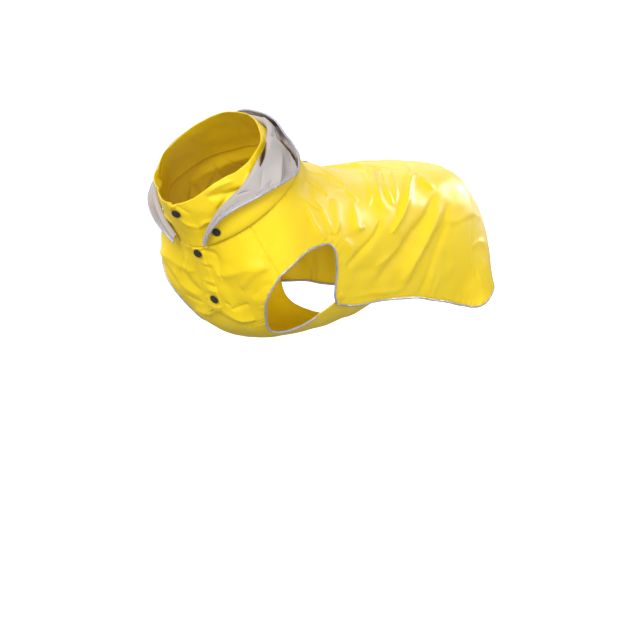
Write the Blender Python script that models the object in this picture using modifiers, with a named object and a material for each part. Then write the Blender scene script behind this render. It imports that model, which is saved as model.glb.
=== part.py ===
"""A hooded dog raincoat with a snap front, filled out as it is worn, with no wearer in it.

Lengths are millimetres in the tables and metres in the objects. +X is the wearer's left, -Y the
chest, +Y the tail and +Z up. The origin is on the inside of the back's centreline, at the withers.

Every panel lies on one surface, given by a station (which section, neck to tail) and an angle in
degrees round that section (0 on the back's centreline, +90 the wearer's left, 180 under the body).
"""
import math

import bmesh
import bpy
import numpy as np
from mathutils import Vector

MM = 0.001

# ---- driving dimensions, mm -------------------------------------------------------------------
CLOTH = 1.5             # thickness of the coat's cloth
MID_WALL = -CLOTH / 2   # the middle of the cloth's wall, off its outer face
HOOD_CLOTH = 1.0        # thickness of each of the hood's two layers
SEAM_GAP = 0.4          # between pieces that meet
PIPE_GAP = 0.45         # between a piping and the cloth's edge
PIPE_RADIUS = 2.1       # piping on the hood's rim, the armholes and the hem
SNAP_RADIUS = 6.25      # snap caps, 20-ligne
SNAP_HEIGHT = 2.4
BACK_SNAP_RADIUS = 5.0
LAP_RIGHT = 6.4         # degrees that the right front and collar run past the centre front, underneath
PLACKET_HALF = 5.4      # degrees each side of the placket's middle
PLACKET_IN = 6.2        # degrees from the left front's free edge to the placket's middle
PLACKET_CLOTH = 1.0
PLACKET_OUT = 1.2       # the middle of the placket's wall lies this far off the front
PLACKET_ENDS = (1.04, 1.95)     # stations
LAP_GAP = 0.45          # between the two fronts where they overlap
LAP_RISE = (161, 170)   # degrees over which the left front rises on to the right one

# Steps of the panels' grids.
BACK_STEPS = (4, 16, 17)    # ribs along the shoulder seam, the armhole and the hem
BACK_HALF_STEPS = 17        # from the back's centreline to the saddle's edge
RIB_BEND = 1.8              # a rib leaves its top station as this power of its reach
FRONT_STEPS = (4, 9)        # along the shoulder seam and the armhole
FRONT_COLUMNS = 10          # from the shoulder seam or armhole to the centre front
LAP_COLUMNS = 2             # past the centre front
BELLY_STEPS = (16,)
COLLAR_ROWS, COLLAR_COLUMNS = 5, 42
HOOD_COLUMNS = 40
FALL_STEPS = 7              # from the hood's roll to its rim

# ---- sections, neck to tail -------------------------------------------------------------------
# A closed section passes through its back, side and under points. The saddle hangs free below the
# sides, as if it closed at the lower hang point. The powers square off the upper and lower halves.
SECTION_COLUMNS = (
    "name", "back_y", "back_z", "side_x", "side_y", "side_z",
    "under_y", "under_z", "hang_y", "hang_z", "top_power", "low_power")
SECTIONS = (
    ("collar rim", -150, 90, 75, -208, 35, -277, -23, -277, -23, 2.0, 1.6),
    ("neck seam", -75, 38, 97, -172, -14, -234, -80, -234, -80, 2.0, 1.8),
    ("shoulders", -8, 3, 117, -150, -85, -190, -166, -190, -166, 2.2, 2.2),
    ("forelegs", 45, -8, 117, -70, -98, -150, -209, -150, -209, 2.1, 2.4),
    ("elbows", 90, -11, 115, 10, -97, -78, -219, -70, -270, 2.05, 2.4),
    ("girth", 135, -11, 113, 80, -95, 0, -213, 10, -300, 2.0, 2.4),
    ("belly", 180, -11, 111, 140, -92, 100, -205, 100, -310, 2.0, 2.4),
    ("loin", 225, -16, 110, 188, -102, 150, -215, 160, -315, 2.0, 2.3),
    ("croup", 265, -39, 107, 218, -134, 172, -235, 190, -320, 2.0, 2.2),
    ("rump", 303, -88, 107, 234, -176, 162, -250, 200, -330, 2.0, 2.1),
    ("rear hem", 333, -192, 109, 241, -214, 140, -238, 190, -330, 2.0, 2.0),
)
NECK_SEAM = 1.0
REAR_HEM = 10.0

# The saddle's lower edge: where each rib starts on the back's centreline and where it ends.
RIB_COLUMNS = ("name", "top_station", "low_station", "low_angle")
RIBS = (
    ("neck seam", 1.00, 1.00, 126.5),
    ("shoulder seam", 1.14, 1.26, 124.3),
    ("shoulder seam", 1.28, 1.55, 119.2),
    ("shoulder seam's end", 1.42, 1.87, 115.0),
    ("armhole front", 1.60, 1.92, 102.6),
    ("armhole front", 1.82, 1.98, 93.1),
    ("armhole top", 2.10, 2.12, 86.7),
    ("armhole top", 2.42, 2.37, 82.3),
    ("armhole top", 2.70, 2.55, 84.0),
    ("armhole rear", 3.00, 2.82, 91.5),
    ("armhole rear", 3.28, 3.06, 99.0),
    ("armhole rear", 3.52, 3.33, 112.0),
    ("hem corner", 3.78, 3.52, 117.0),
    ("hem", 4.16, 3.97, 116.3),
    ("hem", 4.75, 4.62, 113.6),
    ("hem", 5.50, 5.46, 114.5),
    ("hem", 6.25, 6.30, 117.6),
    ("hem", 6.95, 7.05, 118.6),
    ("hem", 7.60, 7.74, 116.5),
    ("hem", 8.20, 8.40, 111.3),
    ("hem", 8.80, 9.05, 104.3),
    ("hem", 9.30, 9.62, 97.0),
    ("rear corner", 9.70, 9.92, 88.0),
    ("rear hem", 10.0, 10.0, 79.0),
)
SHOULDER_SEAM_END = 3       # rows of RIBS, and of FRONT_EDGE below
HEM_CORNER = 12

# The fronts' outer edge, from the neck seam down the shoulder seam and the armhole.
FRONT_EDGE_COLUMNS = ("name", "station", "angle", "centre_station")
FRONT_EDGE = (
    ("neck seam", 1.00, 126.5, 1.00),
    ("shoulder seam", 1.26, 124.3, 1.20),
    ("shoulder seam", 1.55, 119.2, 1.42),
    ("shoulder seam's end", 1.87, 115.0, 1.60),
    ("armhole", 1.90, 122.5, 1.70),
    ("armhole", 1.97, 131.5, 1.79),
    ("armhole", 2.07, 138.2, 1.87),
    ("armhole", 2.20, 143.0, 1.94),
    ("chest seam", 2.42, 148.0, 2.00),
)

# The free edge of the left front and of the collar's left end, which lap over the right ones.
LAP_EDGE_COLUMNS = ("station", "angle")
LAP_EDGE = ((0.0, 181.5), (1.0, 181.0), (1.4, 183.0), (1.8, 184.8), (2.0, 185.6))

# How far the collar's rim stands above its section, by angle.
RIM_RISE_COLUMNS = ("angle", "rise")
RIM_RISE = (
    (-190, 4), (-170, 5), (-155, 4.5), (-135, 1.5), (-120, 0), (100, 0), (112, 1.5), (120, 4.5),
    (130, 6), (139, 4), (150, 0.5), (162, 0.5), (170, 2), (180, 4), (190, 4))

# The belly panel's side edge, from the chest seam back between the forelegs and up inside the saddle.
BELLY_EDGE_COLUMNS = ("name", "station", "angle", "tuck")
BELLY_EDGE = (
    ("chest seam", 2.42, 148.0, 0.0),
    ("between the forelegs", 2.70, 153.0, 0.0),
    ("between the forelegs", 3.00, 154.0, 0.0),
    ("behind the foreleg", 3.30, 146.0, 0.6),
    ("behind the foreleg", 3.55, 130.0, 1.9),
    ("under the saddle", 3.80, 112.0, 2.2),
    ("under the saddle", 4.05, 102.5, 2.2),
    ("under the saddle", 4.50, 99.5, 2.2),
    ("belly hem corner", 5.00, 99.5, 2.2),
)
CHEST_SEAM_CENTRE = 2.0
BELLY_HEM_CENTRE = 5.3
SEAM_POINT = 0.12       # the smaller, the sharper the seams come to a point at the centre front
BELLY_PIPING_END = 3.9  # row of BELLY_EDGE where the armhole's piping ends

# The folded-down hood, by angle round the neck seam. It stands up beside the collar to its roll,
# falls outward to a trough and turns up to its rim. Rises are along the neck above the neck seam
# (below it where negative), outs are off the coat, and turn is how far the trough rounds.
HOOD_COLUMN_NAMES = ("angle", "roll_rise", "trough_rise", "trough_out", "turn", "rim_rise", "rim_out")
HOOD = (
    (-163, 18, 8, 8.4, 0.5, 4, 10.0),
    (-153, 30, 19, 8.6, 0.8, 14, 12.5),
    (-140, 41, 28, 9.0, 1.2, 21, 15.5),
    (-127, 46, 30, 9.4, 1.6, 22, 18.0),
    (-114, 50, 27, 9.4, 1.6, 17, 18.5),
    (-97, 54, 22, 9.2, 1.8, 13, 18.0),
    (-72, 58, 16, 9.0, 2.0, 7, 17.0),
    (-50, 58, 18, 8.4, 2.2, 20, 17.0),
    (-20, 57, 26, 7.8, 3.0, 43, 23.0),
    (0, 60, 24, 7.6, 3.4, 39, 22.0),
    (20, 66, 28, 7.8, 3.0, 44, 18.0),
    (40, 69, 31, 8.2, 2.6, 42, 16.0),
    (55, 69, 23, 8.6, 2.4, 27, 17.0),
    (72, 68, 16, 9.0, 2.2, 12, 18.0),
    (97, 64, 27, 8.8, 1.6, 23, 14.5),
    (114, 56, 34, 8.6, 1.6, 30, 12.5),
    (127, 51, 40, 8.4, 1.6, 35, 12.0),
    (140, 44, 38, 8.4, 1.2, 34, 11.2),
    (153, 31, 27, 8.4, 0.8, 24, 10.6),
    (163, 18, 11, 8.2, 0.5, 5, 10.4),
)
HOOD_END = 163          # degrees from the back's centreline to the hood's front ends
NECK_LENGTH = 75.0      # from the neck seam to the collar's rim, along the neck
STAND_OUT = 2.0         # the hood's stand lies this far off the collar
STAND_START = 1.5       # the hood starts this far above the neck seam
ROLL_RADIUS = 3.2
TURN_REACH = 10.0       # the trough opens fully over this rise to the rim

# The largest folds: soft ridges (height above 0) and troughs, each between two places.
FOLD_COLUMNS = (
    "name", "station", "angle", "end_station", "end_angle", "half_width", "height")
FOLDS = (
    ("withers pull, left", 2.05, 12, 2.45, 38, 7, 2.6),
    ("withers pull, right", 2.05, -12, 2.50, -40, 7, 2.4),
    ("arm pull, left", 1.40, 70, 2.25, 79, 8, 2.6),
    ("arm pull, right", 1.45, -68, 2.30, -80, 8, 2.4),
    ("saddle ridge, left", 2.60, 46, 3.05, 72, 8, 3.2),
    ("saddle ridge, right", 2.75, -44, 3.20, -74, 8, 3.0),
    ("standing fold, left", 3.70, 22, 3.45, 62, 11, 5.5),
    ("standing fold, right", 3.85, -18, 3.50, -60, 11, 5.0),
    ("flank ridge, left", 5.30, 26, 4.20, 82, 10, 4.5),
    ("flank ridge, right", 5.10, -30, 4.30, -84, 10, 4.2),
    ("flank trough, left", 5.45, 72, 4.60, 103, 11, -5.0),
    ("flank trough, right", 5.60, -70, 4.70, -104, 11, -4.6),
    ("loin trough, left", 6.15, 80, 5.60, 108, 10, -4.0),
    ("loin trough, right", 6.30, -78, 5.80, -108, 10, -3.6),
    ("rump hollow, left", 7.10, 100, 7.45, 114, 14, -3.0),
    ("rump hollow, right", 7.20, -98, 7.50, -114, 14, -3.0),
    ("chest trough, left", 1.67, 122, 1.78, 150, 8, -3.0),
    ("chest ridge, left", 1.46, 126, 1.43, 160, 10, 2.0),
    ("chest trough, right", 1.60, -124, 1.78, -158, 8, -2.8),
    ("chest ridge, right", 1.66, -140, 1.62, -168, 8, 2.0),
)
STATION_LENGTH = 46.0   # about one station on the cloth
DEGREE_LENGTH = 2.0     # about one degree on the cloth
CORNER_REACH = 3.0      # degrees from a panel's corner to the next point on the edge that turns off
SHARP_TURN = 0.25       # sine of the least turn that an outline's gap is kept on both sides of

SNAP_PLACES = (  # name, station, angle, how far off the surface it sits, cap radius
    ("snap_1", 0.18, 174.0, CLOTH + 0.9, SNAP_RADIUS),
    ("snap_2", 1.09, 175.0, CLOTH + PLACKET_CLOTH + 1.4, SNAP_RADIUS),
    ("snap_3", 1.80, 177.7, CLOTH + PLACKET_CLOTH + 1.4, SNAP_RADIUS),
    ("snap_hood_left", 0.80, 150.0, STAND_OUT + HOOD_CLOTH + 0.7, 5.6),
    ("snap_hood_right", 0.80, -150.0, STAND_OUT + HOOD_CLOTH + 0.7, 5.6),
    ("snap_back", 1.86, 0.0, 0.7, BACK_SNAP_RADIUS),
)

# Colour, metallic and roughness of each material.
MATERIALS = {
    "yellow_cloth": ((0.84, 0.62, 0.02), 0.0, 0.42),
    "grey_lining": ((0.42, 0.38, 0.37), 0.0, 0.80),
    "reflective_piping": ((0.55, 0.56, 0.66), 0.0, 0.45),
    "black_snap": ((0.03, 0.03, 0.035), 0.0, 0.35),
}


# ---- the surface ------------------------------------------------------------------------------
def column(table, names, wanted):
    return np.array([row[names.index(wanted)] for row in table], float)


def section_table(under):
    """The sections' numbers, closed at the under point or at the hang point."""
    wanted = ("back_y", "back_z", "side_x", "side_y", "side_z",
              under + "_y", under + "_z", "top_power", "low_power")
    return np.stack([column(SECTIONS, SECTION_COLUMNS, name) for name in wanted], -1)


CLOSED = section_table("under")
HANGING = section_table("hang")


def smooth_rows(table, place):
    """Reads a table's rows at any place between them, on Catmull-Rom curves."""
    last = len(table) - 1
    place = np.clip(np.asarray(place, float), 0, last)
    row = np.minimum(place.astype(int), last - 1)
    spread = place.shape + (1,) * (table.ndim - 1)
    t = (place - row).reshape(spread)
    here, there = table[row], table[row + 1]
    before = np.where((row > 0).reshape(spread), table[np.maximum(row - 1, 0)], 2 * here - there)
    after = np.where((row + 2 <= last).reshape(spread), table[np.minimum(row + 2, last)],
                     2 * there - here)
    return 0.5 * (2 * here + (there - before) * t + (2 * before - 5 * here + 4 * there - after) * t ** 2
                  + (3 * here - before - 3 * there + after) * t ** 3)


def bare_points(station, angle, hanging):
    """The surface without folds, in mm."""
    row = smooth_rows(HANGING if hanging else CLOSED, station)
    back_y, back_z, side_x, side_y, side_z, low_y, low_z, top_power, low_power = np.moveaxis(row, -1, 0)
    turn = np.radians(angle)
    power = np.where(np.cos(turn) > 0, top_power, low_power)
    across = np.sign(np.sin(turn)) * np.abs(np.sin(turn)) ** (2 / power)
    level = np.sign(np.cos(turn)) * np.abs(np.cos(turn)) ** (2 / power)
    down = (1 - level) / 2
    back_share = (1 - down) * (1 - 2 * down)
    side_share = 4 * down * (1 - down)
    low_share = down * (2 * down - 1)
    return np.stack([
        side_x * across,
        back_y * back_share + side_y * side_share + low_y * low_share,
        back_z * back_share + side_z * side_share + low_z * low_share], -1)


def outward(station, angle, hanging):
    """Unit normals of the surface, away from the wearer."""
    along = bare_points(station + 0.03, angle, hanging) - bare_points(station - 0.03, angle, hanging)
    around = bare_points(station, angle + 1.0, hanging) - bare_points(station, angle - 1.0, hanging)
    return unit(np.cross(around, along))


def fold_height(station, angle):
    """How far the folds lift the cloth off the bare surface, in mm."""
    height = np.zeros(np.broadcast(station, angle).shape)
    for row in FOLDS:
        fold = dict(zip(FOLD_COLUMNS, row))
        run = np.array([(fold["end_station"] - fold["station"]) * STATION_LENGTH,
                        (fold["end_angle"] - fold["angle"]) * DEGREE_LENGTH])
        off_along = (station - fold["station"]) * STATION_LENGTH
        off_around = ((angle - fold["angle"] + 180) % 360 - 180) * DEGREE_LENGTH
        share = np.clip((off_along * run[0] + off_around * run[1]) / (run @ run), 0, 1)
        miss = (off_along - share * run[0]) ** 2 + (off_around - share * run[1]) ** 2
        height = height + fold["height"] * np.exp(-miss / fold["half_width"] ** 2)
    return height


def cloth_points(station, angle, out=0.0, hanging=False):
    """Points on the cloth's outer face, or out mm off it."""
    station, angle = np.broadcast_arrays(np.asarray(station, float), np.asarray(angle, float))
    lift = fold_height(station, angle) + out
    return bare_points(station, angle, hanging) + outward(station, angle, hanging) * lift[..., None]


def smooth_step(start, end, value):
    t = np.clip((value - start) / (end - start), 0, 1)
    return t * t * (3 - 2 * t)


def front_lap(angle):
    """The left front and the collar's left end rise over the right ones, near the centre front."""
    return smooth_step(*LAP_RISE, angle) * (CLOTH + LAP_GAP)


def lap_edge(station):
    """The angle of the left front's free edge."""
    return np.interp(station, column(LAP_EDGE, LAP_EDGE_COLUMNS, "station"),
                     column(LAP_EDGE, LAP_EDGE_COLUMNS, "angle"))


def along_outline(table, names, wanted, corners, steps):
    """Columns of a table of outline points, smooth between its corner rows, and the places read.

    corners are the rows where the outline turns sharply, its first and last rows included, and
    steps says how many steps each stretch between them takes.
    """
    rows = np.stack([column(table, names, name) for name in wanted], -1)
    values, places = [], []
    for first, last, count in zip(corners, corners[1:], steps):
        place = np.linspace(first, last, count + 1)
        values.append(smooth_rows(rows[first:last + 1], place - first))
        places.append(place)
        if last != corners[-1]:
            values[-1], places[-1] = values[-1][:-1], places[-1][:-1]
    return np.concatenate(values), np.concatenate(places)


def unit(vectors):
    return vectors / np.linalg.norm(vectors, axis=-1, keepdims=True)


# ---- objects ----------------------------------------------------------------------------------
def clear_scene():
    for thing in list(bpy.data.objects):
        bpy.data.objects.remove(thing, do_unlink=True)


def make_materials():
    made = {}
    for name, (colour, metallic, roughness) in MATERIALS.items():
        material = bpy.data.materials.new(name)
        material.use_nodes = True
        shader = material.node_tree.nodes["Principled BSDF"]
        shader.inputs["Base Color"].default_value = (*colour, 1)
        shader.inputs["Metallic"].default_value = metallic
        shader.inputs["Roughness"].default_value = roughness
        material.diffuse_color = (*colour, 1)
        made[name] = material
    return made


def pull_in(points, first_row=0.0, last_row=0.0, columns=slice(None)):
    """Draws a grid's first and last rows in by the given distances, to leave a gap to what they meet."""
    moved = points.copy()
    moved[0, columns] += unit(points[1] - points[0])[columns] * first_row
    moved[-1, columns] += unit(points[-2] - points[-1])[columns] * last_row
    return moved


def add_sheet(name, points, thickness, material, parts):
    """A panel of cloth: a grid laid on the middle of its wall, thickened to both sides."""
    rows, columns = points.shape[:2]
    mesh = bpy.data.meshes.new(name)
    grid = bmesh.new()
    bmesh.ops.create_grid(grid, x_segments=columns - 1, y_segments=rows - 1, size=1)
    for vertex in grid.verts:
        row = round((vertex.co.y + 1) / 2 * (rows - 1))
        place = round((vertex.co.x + 1) / 2 * (columns - 1))
        vertex.co = Vector(points[row, place] * MM)
    grid.to_mesh(mesh)
    grid.free()
    mesh.shade_smooth()
    panel = bpy.data.objects.new(name, mesh)
    mesh.materials.append(material)
    parts.objects.link(panel)
    wall = panel.modifiers.new("wall", "SOLIDIFY")
    wall.thickness = thickness * MM
    wall.offset = 0
    return panel


def add_piping(name, path, material, parts, radius=PIPE_RADIUS):
    """A round piping along a path of points."""
    curve = bpy.data.curves.new(name, "CURVE")
    curve.dimensions = "3D"
    curve.bevel_depth = radius * MM
    curve.bevel_resolution = 1
    curve.use_fill_caps = True
    spline = curve.splines.new("POLY")
    spline.points.add(len(path) - 1)
    for point, place in zip(spline.points, path):
        point.co = (*(place * MM), 1)
    curve.materials.append(material)
    piping = bpy.data.objects.new(name, curve)
    parts.objects.link(piping)
    return piping


def add_snap(name, station, angle, out, radius, material, parts):
    """A domed snap cap, turned about its own axis and set flat on the cloth."""
    profile = ((0.0, 1.0), (0.55, 0.94), (0.85, 0.70), (1.0, 0.38), (0.96, 0.0), (0.0, 0.0))
    mesh = bpy.data.meshes.new(name)
    outline = bmesh.new()
    corners = [outline.verts.new((x * radius * MM, 0, z * SNAP_HEIGHT * MM)) for x, z in profile]
    for upper, lower in zip(corners, corners[1:]):
        outline.edges.new((upper, lower))
    outline.to_mesh(mesh)
    outline.free()
    mesh.materials.append(material)
    cap = bpy.data.objects.new(name, mesh)
    parts.objects.link(cap)
    turned = cap.modifiers.new("turned", "SCREW")
    turned.steps = 16
    turned.render_steps = 16
    turned.use_merge_vertices = True
    turned.merge_threshold = 0.00005
    turned.use_smooth_shade = True
    cap.location = Vector(cloth_points(station, angle, out) * MM)
    cap.rotation_euler = Vector(outward(station, angle, False)).to_track_quat("Z", "Y").to_euler()
    return cap


# ---- panels -----------------------------------------------------------------------------------
def inset(outline, gaps, inward, before, after, hanging=False):
    """Moves an outline's points into its panel, so that each stretch between them keeps its gap.

    before and after are (station, angle, gap) of the next point beyond each end, on the edge that
    turns off there. inward is 1 where the panel lies towards the back's centreline, else -1.
    """
    station, angle = np.concatenate([[before[:2]], outline, [after[:2]]]).T
    gaps = np.concatenate([[before[2]], gaps, [after[2]]])
    points = bare_points(station, angle, hanging)
    along = bare_points(station + 0.01, angle, hanging) - bare_points(station - 0.01, angle, hanging)
    around = bare_points(station, angle + 0.2, hanging) - bare_points(station, angle - 0.2, hanging)
    first = unit(along)
    second = np.cross(outward(station, angle, hanging), first)
    moved = []
    for place in range(1, len(points) - 1):
        rows, wanted = [], gaps[place - 1:place + 1]
        for step in (place - 1, place):
            run = points[step + 1] - points[step]
            run = unit(np.array([run @ first[place], run @ second[place]]))
            rows.append(inward * np.array([-run[1], run[0]]))
        if abs(rows[0][0] * rows[1][1] - rows[0][1] * rows[1][0]) < SHARP_TURN:
            rows, wanted = [unit(rows[0] + rows[1])], [max(wanted)]
        flat = np.linalg.lstsq(np.array(rows), np.array(wanted), rcond=None)[0]
        shift = flat[0] * first[place] + flat[1] * second[place]
        frame = np.stack([along[place] / 0.02, around[place] / 0.4], -1)
        moved.append(np.linalg.lstsq(frame, shift, rcond=None)[0])
    return outline + np.array(moved)


def stretch_gaps(places, piped_from, piped_to):
    """The gap along each stretch of an outline: a piping's where it is piped, else a seam's."""
    middle = (places[1:] + places[:-1]) / 2
    piped = (middle > piped_from) & (middle < piped_to)
    return np.where(piped, PIPE_RADIUS + PIPE_GAP, SEAM_GAP / 2)


def add_back_panel(materials, parts):
    """The saddle: a rib for each row, from the right edge over the back to the left one."""
    ribs, places = along_outline(RIBS, RIB_COLUMNS, ("top_station", "low_station", "low_angle"),
                                 (0, SHOULDER_SEAM_END, HEM_CORNER, len(RIBS) - 1), BACK_STEPS)
    low = inset(ribs[:, 1:], stretch_gaps(places, SHOULDER_SEAM_END, len(RIBS)), 1,
                (NECK_SEAM, ribs[0, 2] - CORNER_REACH, SEAM_GAP / 2),
                (REAR_HEM, ribs[-1, 2] - CORNER_REACH, PIPE_RADIUS + PIPE_GAP), hanging=True)
    top, low, low_angle = ribs[:, :1], low[:, :1], low[:, 1:]
    reach = np.linspace(-1, 1, 2 * BACK_HALF_STEPS + 1)
    station = top + (low - top) * np.abs(reach) ** RIB_BEND
    points = cloth_points(station, low_angle * reach, MID_WALL, hanging=True)
    points = pull_in(points, SEAM_GAP / 2, PIPE_RADIUS + PIPE_GAP, slice(1, -1))
    return add_sheet("back_panel", points, CLOTH, materials["yellow_cloth"], parts)


def across_station(rows, angle):
    """Stations of a panel's rows between its side edge and the centre front.

    The columns of rows are the edge's station and angle and the station at the centre front.
    """
    edge_station, edge_angle, centre_station = rows.T[:, :, None]
    off_centre = (np.abs(180 - angle) / (180 - edge_angle)) ** 2
    share = off_centre * (1 + SEAM_POINT) / (off_centre + SEAM_POINT)
    return centre_station + (edge_station - centre_station) * share


def chest_seam_corner(row):
    """The next point on the chest seam beyond its end at the armhole, for inset."""
    angle = row[1] + CORNER_REACH
    return across_station(row[None], np.array([angle]))[0, 0], angle, SEAM_GAP / 2


def add_front(side, materials, parts):
    """One front. side is 1 for the left, which laps over, and -1 for the right."""
    rows, places = along_outline(FRONT_EDGE, FRONT_EDGE_COLUMNS, ("station", "angle", "centre_station"),
                                 (0, SHOULDER_SEAM_END, len(FRONT_EDGE) - 1), FRONT_STEPS)
    edge = inset(rows[:, :2], stretch_gaps(places, SHOULDER_SEAM_END, len(FRONT_EDGE)), -1,
                 (NECK_SEAM, rows[0, 1] + CORNER_REACH, SEAM_GAP / 2), chest_seam_corner(rows[-1]))
    across = np.linspace(0, 1, FRONT_COLUMNS + 1)
    angle = edge[:, 1:] + (180 - edge[:, 1:]) * across
    lap = lap_edge(rows[:, 2:]) - 180 if side > 0 else np.full((len(rows), 1), LAP_RIGHT)
    angle = np.concatenate([angle, 180 + lap * np.linspace(0, 1, LAP_COLUMNS + 1)[1:]], 1)
    off_edge = np.concatenate([across, np.ones(LAP_COLUMNS)])
    station = across_station(rows, angle)
    station = station + (edge[:, :1] - station[:, :1]) * (1 - off_edge) ** 4
    out = MID_WALL + (front_lap(angle) if side > 0 else 0)
    points = cloth_points(station, side * angle, out)
    points = pull_in(points, SEAM_GAP / 2, SEAM_GAP / 2, slice(1, None))
    if side < 0:
        points = points[:, ::-1]
    name = "chest_left" if side > 0 else "chest_right"
    return add_sheet(name, points, CLOTH, materials["yellow_cloth"], parts)


def add_placket(materials, parts):
    """The doubled band under the snaps, on the left front's edge."""
    station, angle = np.meshgrid(
        np.linspace(*PLACKET_ENDS, 15), np.linspace(-PLACKET_HALF, PLACKET_HALF, 5), indexing="ij")
    angle = angle + lap_edge(station) - PLACKET_IN
    points = cloth_points(station, angle, front_lap(angle) + PLACKET_OUT)
    return add_sheet("placket", points, PLACKET_CLOTH, materials["yellow_cloth"], parts)


def add_belly_panel(materials, parts):
    """The under panel: it starts at the chest seam and tucks up inside the saddle's flanks."""
    rows, places = along_outline(BELLY_EDGE, BELLY_EDGE_COLUMNS, ("station", "angle", "tuck"),
                                 (0, len(BELLY_EDGE) - 1), BELLY_STEPS)
    tuck = rows[:, 2:].copy()
    rows[:, 2] = np.linspace(CHEST_SEAM_CENTRE, BELLY_HEM_CENTRE, len(places))
    edge = inset(rows[:, :2], stretch_gaps(places, 0, BELLY_PIPING_END), -1,
                 chest_seam_corner(rows[0]), (rows[-1, 0], rows[-1, 1] + CORNER_REACH, 0.0))
    across = np.linspace(-1, 1, 2 * FRONT_COLUMNS + 1)
    angle = 180 + (180 - edge[:, 1:]) * across
    station = across_station(rows, angle)
    station = station + (edge[:, :1] - station[:, :1]) * across ** 4
    points = cloth_points(station, angle, MID_WALL - tuck)
    points = pull_in(points, first_row=SEAM_GAP / 2, columns=slice(1, -1))
    return add_sheet("belly_panel", points, CLOTH, materials["yellow_cloth"], parts)


def add_collar(materials, parts):
    """A band that stands up from the neck seam, its left end over its right one."""
    station, across = np.meshgrid(
        np.linspace(0, NECK_SEAM, COLLAR_ROWS + 1), np.linspace(0, 1, COLLAR_COLUMNS + 1), indexing="ij")
    angle = (-180 - LAP_RIGHT) * (1 - across) + lap_edge(station) * across
    points = cloth_points(station, angle, MID_WALL + front_lap(angle))
    rise = np.interp(angle, column(RIM_RISE, RIM_RISE_COLUMNS, "angle"), column(RIM_RISE, RIM_RISE_COLUMNS, "rise"))
    points = points + unit(points[0] - points[1]) * (rise * (1 - station / NECK_SEAM))[..., None]
    points = pull_in(points, last_row=SEAM_GAP / 2)
    return add_sheet("collar", points, CLOTH, materials["yellow_cloth"], parts)


# ---- the hood ---------------------------------------------------------------------------------
def hood_profile(roll, trough, trough_out, turn, rim, rim_out, trim):
    """Rises and outs of the hood's middle surface: up the stand, over the roll, down and up again.

    The last stretch ends trim short of the rim.
    """
    top = roll - ROLL_RADIUS
    stand = [(STAND_START + 0 * roll, STAND_OUT + 0 * roll), (top / 2, STAND_OUT + 0 * roll)]
    over = [(top + ROLL_RADIUS * math.sin(bend), STAND_OUT + ROLL_RADIUS * (1 - math.cos(bend)) + 0 * roll)
            for bend in np.radians((0, 45, 90, 135))]
    fall = np.array([
        (top, STAND_OUT + 2 * ROLL_RADIUS + 0 * roll),
        (trough, trough_out),
        (trough - 0.7 * turn, trough_out + 0.7 * turn),
        (trough - 0.7 * turn + 0.5 * turn * np.tanh((rim - trough) / TURN_REACH), trough_out + 1.6 * turn),
        (rim, rim_out)])
    reach = np.cumsum(np.linalg.norm(np.diff(fall, axis=0), axis=1), axis=0)
    reach = np.concatenate([0 * reach[:1], reach])
    wanted = np.linspace(0, 1, FALL_STEPS + 1)[:, None] * (reach[-1] - trim)
    evenly_spaced = np.stack([
        [np.interp(wanted[:, place], reach[:, place], fall[:, axis, place]) for axis in (0, 1)]
        for place in range(len(roll))], -1)
    rows = np.concatenate([np.array(stand + over), evenly_spaced.transpose(1, 0, 2)])
    return rows[:, 0], rows[:, 1]


def hood_points(trim):
    """The hood's middle surface, a row for each step from the neck seam to trim short of the rim."""
    angle = np.linspace(-HOOD_END, HOOD_END, HOOD_COLUMNS + 1)
    numbers = np.stack([column(HOOD, HOOD_COLUMN_NAMES, name) for name in HOOD_COLUMN_NAMES[1:]], -1)
    place = np.interp(angle, column(HOOD, HOOD_COLUMN_NAMES, "angle"), np.arange(len(HOOD)))
    rise, out = hood_profile(*smooth_rows(numbers, place).T, trim)
    station = NECK_SEAM - rise / NECK_LENGTH
    return cloth_points(station, angle[None], out)


def grid_normals(points):
    """Unit normals of a grid of points, columns crossed with rows, each from its nearest steps."""
    def run(axis):
        steps = unit(np.diff(points, axis=axis))
        first, last = np.take(steps, [0], axis), np.take(steps, [-1], axis)
        return np.concatenate([first, steps], axis) + np.concatenate([steps, last], axis)
    return unit(np.cross(run(1), run(0)))


def add_hood(materials, parts):
    """The lining and the shell lie back to back on the hood's middle surface, with piping on its rim."""
    whole = hood_points(0.0)
    slant = np.linalg.norm(np.cross(unit(whole[-1] - whole[-2]), unit(np.gradient(whole[-1], axis=0))), axis=1)
    points = hood_points((PIPE_RADIUS + 2 * PIPE_GAP) / slant)
    layer_out = grid_normals(points) * (SEAM_GAP + HOOD_CLOTH) / 2
    add_sheet("hood_lining", points + layer_out, HOOD_CLOTH, materials["grey_lining"], parts)
    add_sheet("hood_shell", points - layer_out, HOOD_CLOTH, materials["yellow_cloth"], parts)
    add_piping("piping_hood", whole[-1], materials["reflective_piping"], parts)


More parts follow.
